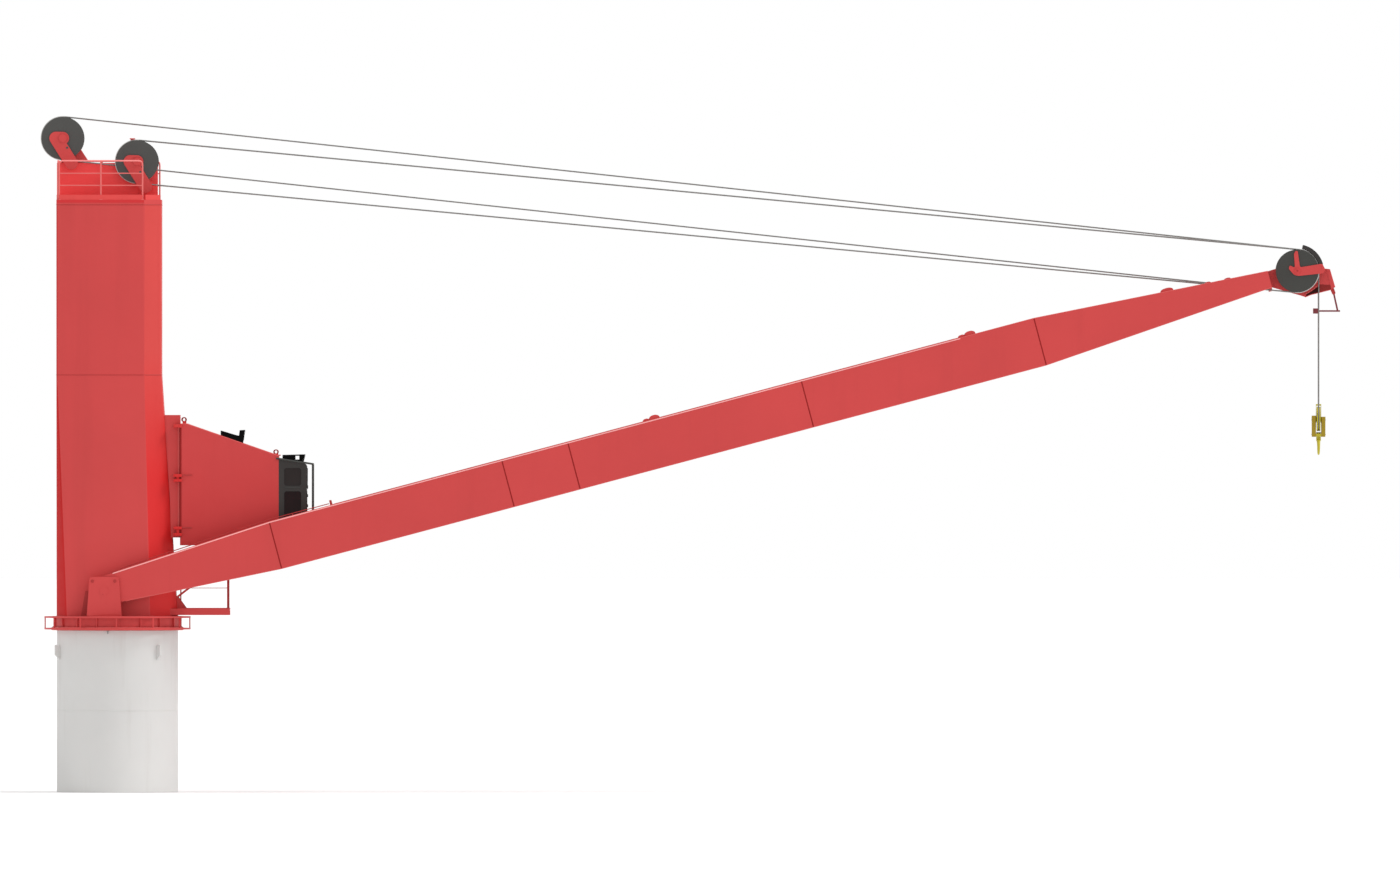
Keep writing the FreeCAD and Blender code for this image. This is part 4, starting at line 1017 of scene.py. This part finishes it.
def make_leg_seams():
    """Welded plate joints across the legs and a lip along their edges in pale red as a painted highlight."""
    seams, lips = bmesh.new(), bmesh.new()
    for sign in SIDES:
        for s in SEAMS:
            for offset, out in ((leg_inner(s) + LEG_WIDTH, 1), (leg_inner(s), -1)):
                depth = sign * out * SEAM_DEPTH
                corners = [on_jib(s + end * SEAM_HALF, sign * offset - depth, leg_edge(s, side))
                           for end, side in ((-1, -1), (1, -1), (1, 1), (-1, 1))]
                add_prism(seams, corners, Vector((0, 2 * depth, 0)))
        for side in SIDES:
            for offset in (LEG_WIDTH - LIP_INSET, LIP_INSET):
                line = [on_jib(s, sign * (leg_inner(s) + offset), leg_edge(s, side))
                        for s in (LIP_START, LEG_FULL_FROM, LEG_BEND, LEG_FULL_TO, LEG_END)]
                add_tube(lips, line, LIP_RADIUS, 8)
    piece("leg_seams", seams, RED_SEAM, "jib")
    piece("leg_edges", lips, RED_HIGHLIT_EDGES, "jib")


PIPE_SPANS = ((0.58, 5.9, 0.054), (6.03, 22.05, 0.012))
PIPE_RADIUS = 0.01
PIPE_INSET = 0.06
PIPE_FOOT = 0.1
PIPE_BEND = 0.12
CLIP_FIRST = 0.6
CLIP_STEP = 1.9
STRIP_ENDS = (0.31, 22.05)
STRIP_RADIUS = 0.015
STRIP_INSET = 0.004
STRIP_DROP = 0.016
POST_PLACE = 5.96
POST_TOP = 0.13
POST_RADIUS = 0.018
SADDLE_PLACES = (14.133, 22.213)
SADDLE_HUMPS = ((-0.11, 0.09, 0.075), (0.1, 0.14, 0.115))
SADDLE_HALF_WIDTH = 0.1
SADDLE_SINK = 0.005
STOPS = ((27.3, 0.0, 0.16, 0.1), (28.321, 0.0, 0.08, 0.05), (28.825, 0.0, 0.08, 0.05))
STOP_HALF_WIDTH = 0.08
STOP_SINK = 0.01


def add_hump(bm, sign, s, shift, half, rise, half_width, sink):
    """A rounded hump across a leg's top, at a shift along the leg from s."""
    middle = leg_inner(s) + LEG_WIDTH / 2
    arc = [(s + shift - half * cos(a), leg_edge(s) - sink + rise * sin(a) ** 0.7)
           for a in (pi * i / 12 for i in range(13))]
    outline = [on_jib(at, sign * (middle - half_width), n) for at, n in arc]
    add_prism(bm, outline, Vector((0, sign * 2 * half_width, 0)))


def make_leg_pipes():
    """A conduit above each leg, a pale pink tube below it along the leg's top edge as a painted highlight, and the
    saddles that a slack wire can lie on.
    """
    bm, highlights, humps = (bmesh.new() for i in range(3))
    for sign in SIDES:
        def place(s, rise):
            return on_jib(s, sign * (leg_inner(s) + LEG_WIDTH - PIPE_INSET), leg_edge(s) + rise)

        for start, end, rise in PIPE_SPANS:
            stations = [start] + [s for s in (LEG_FULL_FROM, LEG_BEND) if start < s < end] + [end]
            line = [place(start - PIPE_FOOT, 0.0)] + [place(s, rise) for s in stations]
            add_tube(bm, rounded(line, PIPE_BEND), PIPE_RADIUS, 8)
            s = start + CLIP_FIRST
            while s < end:
                add_rod(bm, place(s, -PIPE_RADIUS), place(s, rise + PIPE_RADIUS), PIPE_RADIUS, 8)
                s += CLIP_STEP
        add_tube(highlights, [on_jib(s, sign * (leg_inner(s) + LEG_WIDTH - STRIP_INSET), leg_edge(s) - STRIP_DROP)
                          for s in (STRIP_ENDS[0], LEG_FULL_FROM, LEG_BEND, STRIP_ENDS[1])], STRIP_RADIUS, 8)
        add_rod(bm, place(POST_PLACE, -PIPE_RADIUS), place(POST_PLACE, POST_TOP), POST_RADIUS, 12)
        for s in SADDLE_PLACES:
            for hump in SADDLE_HUMPS:
                add_hump(humps, sign, s, *hump, SADDLE_HALF_WIDTH, SADDLE_SINK)
        for stop in STOPS:
            add_hump(humps, sign, *stop, STOP_HALF_WIDTH, STOP_SINK)
    piece("leg_conduits", bm, RED_DEEP, "jib")
    piece("leg_highlight_strips", highlights, RED_PAINTED_HIGHLIGHT, "jib")
    saddles = piece("wire_saddles", humps, body="jib")
    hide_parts("rope_rests")


# Jib head: outlines by offsets from the sheaves' axis
GUARD_FACES = (0.485, 0.505)
GUARD_OUTLINE = ((-0.218, 0.057), (-0.189, 0.142), (-0.06, 0.075), (-0.085, 0.425), (-0.045, 0.495),
                 (0.009, 0.495), (0.066, 0.09), (0.625, 0.18), (0.691, 0.019), (0.644, -0.06),
                 (0.03, -0.125), (-0.08, -0.1))
GUARD_CORNER = 0.045
GUARD_BOLTS = ((0.6, 0.06), (0.6, 0.12), (-0.17, 0.09), (-0.035, 0.45))
GUARD_BOLT = 0.014
GUARD_TIE = (0.64, 0.06)
TIE_RADIUS = 0.04
HUB_CAP_RADIUS = 0.045
HUB_CAP_HEIGHT = 0.034
HUB_BOLT = 0.026
HEAD_PLATE_FACE = 0.2
NOSE_EDGE_Y = HEAD_PLATE_FACE - 0.004
NOSE_FLANGE_Y = HEAD_PLATE_FACE + 0.008
NOSE_EDGE = ((0.668, 0.05), (0.804, 0.04), (0.931, -0.396), (0.841, -0.458), (0.334, -0.587),
             (0.198, -0.644))
NOSE_FRONT_STRIP = ((0.726, 0.042), (0.8, 0.036), (0.925, -0.394), (0.842, -0.445))
NOSE_LOW_PANEL = ((0.56, -0.33), (0.815, -0.345), (0.836, -0.449), (0.56, -0.519))
NOSE_SHADOW_OUTLINE = ((0.235, -0.56), (0.4, -0.47), (0.556, -0.35), (0.556, -0.52), (0.334, -0.576),
                (0.215, -0.628))
STRIP_DEPTH = 0.012
PANEL_DEPTH = 0.003
NOSE_FLANGE_RADIUS = 0.6
NOSE_FLANGE = [(NOSE_FLANGE_RADIUS * cos(radians(a)), NOSE_FLANGE_RADIUS * sin(radians(a)))
               for a in range(-70, -33, 4)]
NOSE_LIP_RADIUS = 0.012


def on_head(outline, y):
    return at_y(y, [(HEAD.x + x, HEAD.z + z) for x, z in outline])


def make_head():
    """Guard plates with hub caps, the nose's front strip, its edge flanges in pale red as a painted highlight, and
    near-black panels as painted shadow inside the nose.
    """
    bm, bolts, shaded, shadow, flanges = (bmesh.new() for i in range(5))
    for sign in SIDES:
        out = Vector((0, sign, 0))
        line = on_head(GUARD_OUTLINE, 0)
        line = rounded(line + line[:2], GUARD_CORNER, 4)[1:-1]
        side_plate(bm, sign, [(point.x, point.z) for point in line], GUARD_FACES)
        face = Vector((HEAD.x, sign * GUARD_FACES[1], HEAD.z))
        add_rod(bm, face, face + out * HUB_CAP_HEIGHT, HUB_CAP_RADIUS, 32)
        add_bolt(bolts, face + out * HUB_CAP_HEIGHT, out, HUB_BOLT)
        for x, z in GUARD_BOLTS:
            add_bolt(bm, face + Vector((x, 0, z)), out, GUARD_BOLT)
        face_y = sign * HEAD_PLATE_FACE
        tie = on_head((GUARD_TIE,), face_y)[0]
        add_rod(bm, tie, tie + out * (GUARD_FACES[0] - HEAD_PLATE_FACE), TIE_RADIUS)
        add_tube(bm, on_head(NOSE_EDGE, sign * NOSE_EDGE_Y), NOSE_LIP_RADIUS, 8)
        add_prism(bm, on_head(NOSE_FRONT_STRIP, face_y), out * STRIP_DEPTH)
        add_prism(shaded, on_head(NOSE_LOW_PANEL, face_y), out * PANEL_DEPTH)
        add_prism(shadow, on_head(NOSE_SHADOW_OUTLINE, face_y), out * PANEL_DEPTH)
        add_tube(flanges, on_head(NOSE_FLANGE, sign * NOSE_FLANGE_Y), NOSE_LIP_RADIUS, 8)
    guards = piece("head_guards", bm, body="jib", bevel=0.004)
    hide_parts("head_guard_plates")
    piece("head_bolts", bolts, RED_DEEP, "jib")
    piece("nose_shaded_panels", shaded, RED_SHADED, "jib")
    piece("nose_shadow_panels", shadow, RED_NOSE_SHADOW, "jib")
    piece("nose_flanges", flanges, RED_HIGHLIT_EDGES, "jib")


# Hook block
CHEEK_FACES = (0.065, 0.168)
CHEEK_TOPS = ((-1, 0.086), (1, 0.058))
CHEEK_OUTLINE = ((-0.13, -0.44), (0.13, -0.44), (0.23, 0.0), (0.23, 0.086), (-0.23, 0.086), (-0.23, 0.0))
CHEEK_BOLTS = ((-0.16, -0.02), (0.16, -0.02), (-0.09, -0.38), (0.09, -0.38))
CHEEK_BOLT = 0.014
HUB_PLATE = (-0.01, 0.004)
HUB_PLATE_RADIUS = 0.06
BLOCK_PIN = Vector((0.15, 0, 0))
PIN_RADIUS = 0.05


def make_hook_block():
    bm, bolts = bmesh.new(), bmesh.new()
    for sign, top in CHEEK_TOPS:
        outline = [BLOCK + Vector((sign * CHEEK_FACES[0], y, min(z, top))) for y, z in CHEEK_OUTLINE]
        add_prism(bm, outline, Vector((sign * (CHEEK_FACES[1] - CHEEK_FACES[0]), 0, 0)))
        out = Vector((sign, 0, 0))
        hub = BLOCK + out * CHEEK_FACES[1]
        add_rod(bolts, hub + out * HUB_PLATE[0], hub + out * HUB_PLATE[1], HUB_PLATE_RADIUS, 24)
        for y, z in CHEEK_BOLTS:
            add_bolt(bolts, hub + Vector((0, y, z)), out, CHEEK_BOLT)
    add_rod(bm, BLOCK - BLOCK_PIN, BLOCK + BLOCK_PIN, PIN_RADIUS, 24)
    weights = piece("block_weights", bm, OLIVE, "hook_block", bevel=0.012, slot="hook_yellow")
    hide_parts("block_cheeks")
    piece("block_bolts", bolts, body="hook_block", slot="pin_steel")


HOOK_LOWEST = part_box("hook")[0].z
HOOK_ARC = 0.16
HOOK_BELLY = 0.055
HOOK_START = 110
HOOK_SWEEP = 270
HOOK_STEPS = 40
HOOK_SIDES = 20
SHANK_RADIUS = 0.044
COLLAR_RADIUS = 0.058
COLLAR_RISE = 0.03
COLLAR_GAP = 0.006
SHANK_SINK = 0.04
NUT_HEIGHT = 0.035
LATCH_WIDTH = 0.024
LATCH_OUTLINE = ((0.02, 0.33), (0.05, 0.35), (0.175, 0.3), (0.155, 0.285))


def hook_line():
    """Centre, way ahead and two half sizes of the forged hook's sections, from the shank to the point."""
    centre = Vector((BLOCK.x, 0, HOOK_LOWEST + HOOK_ARC + HOOK_BELLY))
    for i in range(HOOK_STEPS + 1):
        t = i / HOOK_STEPS
        a = radians(HOOK_START + HOOK_SWEEP * t)
        place = centre + Vector((0, HOOK_ARC * cos(a), HOOK_ARC * sin(a)))
        ahead = Vector((0, -sin(a), cos(a)))
        swell = sin(pi * min(1.0, t * 1.15)) ** 1.2
        yield place, ahead, 0.04 + 0.018 * swell - 0.024 * t ** 3, 0.046 - 0.026 * t ** 0.8


def make_hook():
    bm = bmesh.new()
    rings = []
    across = Vector((1, 0, 0))
    for place, ahead, deep, wide in hook_line():
        inward = ahead.cross(across)
        angles = (2 * pi * k / HOOK_SIDES for k in range(HOOK_SIDES))
        rings.append([bm.verts.new(place + inward * deep * cos(a) + across * wide * sin(a))
                      for a in angles])
    join_loops(bm, rings)
    bm.faces.new(rings[0])
    bm.faces.new(rings[-1])
    levels = (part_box("hook")[1].z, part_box("block_crosshead")[0].z, HOOK_LOWEST + 2 * HOOK_ARC + COLLAR_RISE)
    top, neck, foot = (Vector((BLOCK.x, 0, z)) for z in levels)
    add_rod(bm, foot - UP * SHANK_SINK, top, SHANK_RADIUS, 24)
    add_rod(bm, foot, neck - UP * COLLAR_GAP, COLLAR_RADIUS, 24)
    add_rod(bm, top - UP * NUT_HEIGHT, top, COLLAR_RADIUS, 6)
    latch = [Vector((BLOCK.x - LATCH_WIDTH / 2, y, HOOK_LOWEST + z)) for y, z in LATCH_OUTLINE]
    add_prism(bm, latch, Vector((LATCH_WIDTH, 0, 0)))
    forged = piece("forged_hook", bm, body="hook", slot="hook_yellow")
    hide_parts("hook")


# Studio
def make_camera():
    camera = bpy.data.cameras.new("camera")
    camera.sensor_width = SENSOR_WIDTH
    camera.lens = SENSOR_WIDTH * CAMERA_DISTANCE / (IMAGE_WIDTH * METRES_PER_PIXEL)
    camera.clip_end = 10 * CAMERA_DISTANCE
    obj = new_object("camera", camera)
    obj.location = ((IMAGE_WIDTH / 2 - AXIS_PIXEL_X) * METRES_PER_PIXEL, -CAMERA_DISTANCE,
                    (GROUND_PIXEL_Y - IMAGE_HEIGHT / 2) * METRES_PER_PIXEL)
    obj.rotation_euler = (pi / 2, 0, 0)
    bpy.context.scene.camera = obj


def make_world():
    """White to the camera, in reflections and through panes, a little dimmer as light."""
    world = bpy.data.worlds.new("studio")
    world.use_nodes = True
    bpy.context.scene.world = world
    n = Nodes(world.node_tree)
    output = n.add("OutputWorld")
    background = n.add("Background", Color=WHITE)
    path = n.add("LightPath")
    seen, socket = path, "Is Camera Ray"
    for ray in ("Is Glossy Ray", "Is Transmission Ray"):
        either = n.add("Math")
        either.operation = "MAXIMUM"
        n.link(seen, socket, either, 0)
        n.link(path, ray, either, 1)
        seen, socket = either, "Value"
    strength = n.add("MapRange", To_Min=AMBIENT_STRENGTH)
    n.link(seen, socket, strength, "Value")
    n.link(strength, "Result", background, "Strength")
    n.link(background, "Background", output, "Surface")


def make_sun():
    sun = bpy.data.lights.new("sun", "SUN")
    sun.energy = SUN_STRENGTH
    sun.angle = SUN_SOFTNESS
    obj = new_object("sun", sun)
    obj.rotation_euler = SUN_DIRECTION.to_track_quat("-Z", "Y").to_euler()


def make_floor():
    bm = bmesh.new()
    bmesh.ops.create_grid(bm, x_segments=1, y_segments=1, size=FLOOR_SIZE / 2)
    mesh = bpy.data.meshes.new("floor")
    bm.to_mesh(mesh)
    bm.free()
    floor = new_object("floor", mesh)
    floor.location.z = -FLOOR_DROP
    s = Shader("pale_floor")
    s.set(s.bsdf, Base_Color=FLOOR_COLOUR, Roughness=FLOOR_ROUGHNESS)
    mesh.materials.append(s.material)


make_camera()
make_world()
make_sun()
make_floor()
bpy.context.scene.view_settings.view_transform = "Standard"
dress_nodes()
make_wires()
make_house_shell()
make_roof_rails()
make_sheave_faces()
make_arm_fittings()
make_foot_brackets()
make_base_fittings()
make_cab_front()
make_cab_lamps()
make_cab_fittings()
make_cab_inside()
make_platform_rails()
make_leg_seams()
make_leg_pipes()
make_head()
make_hook_block()
make_hook()
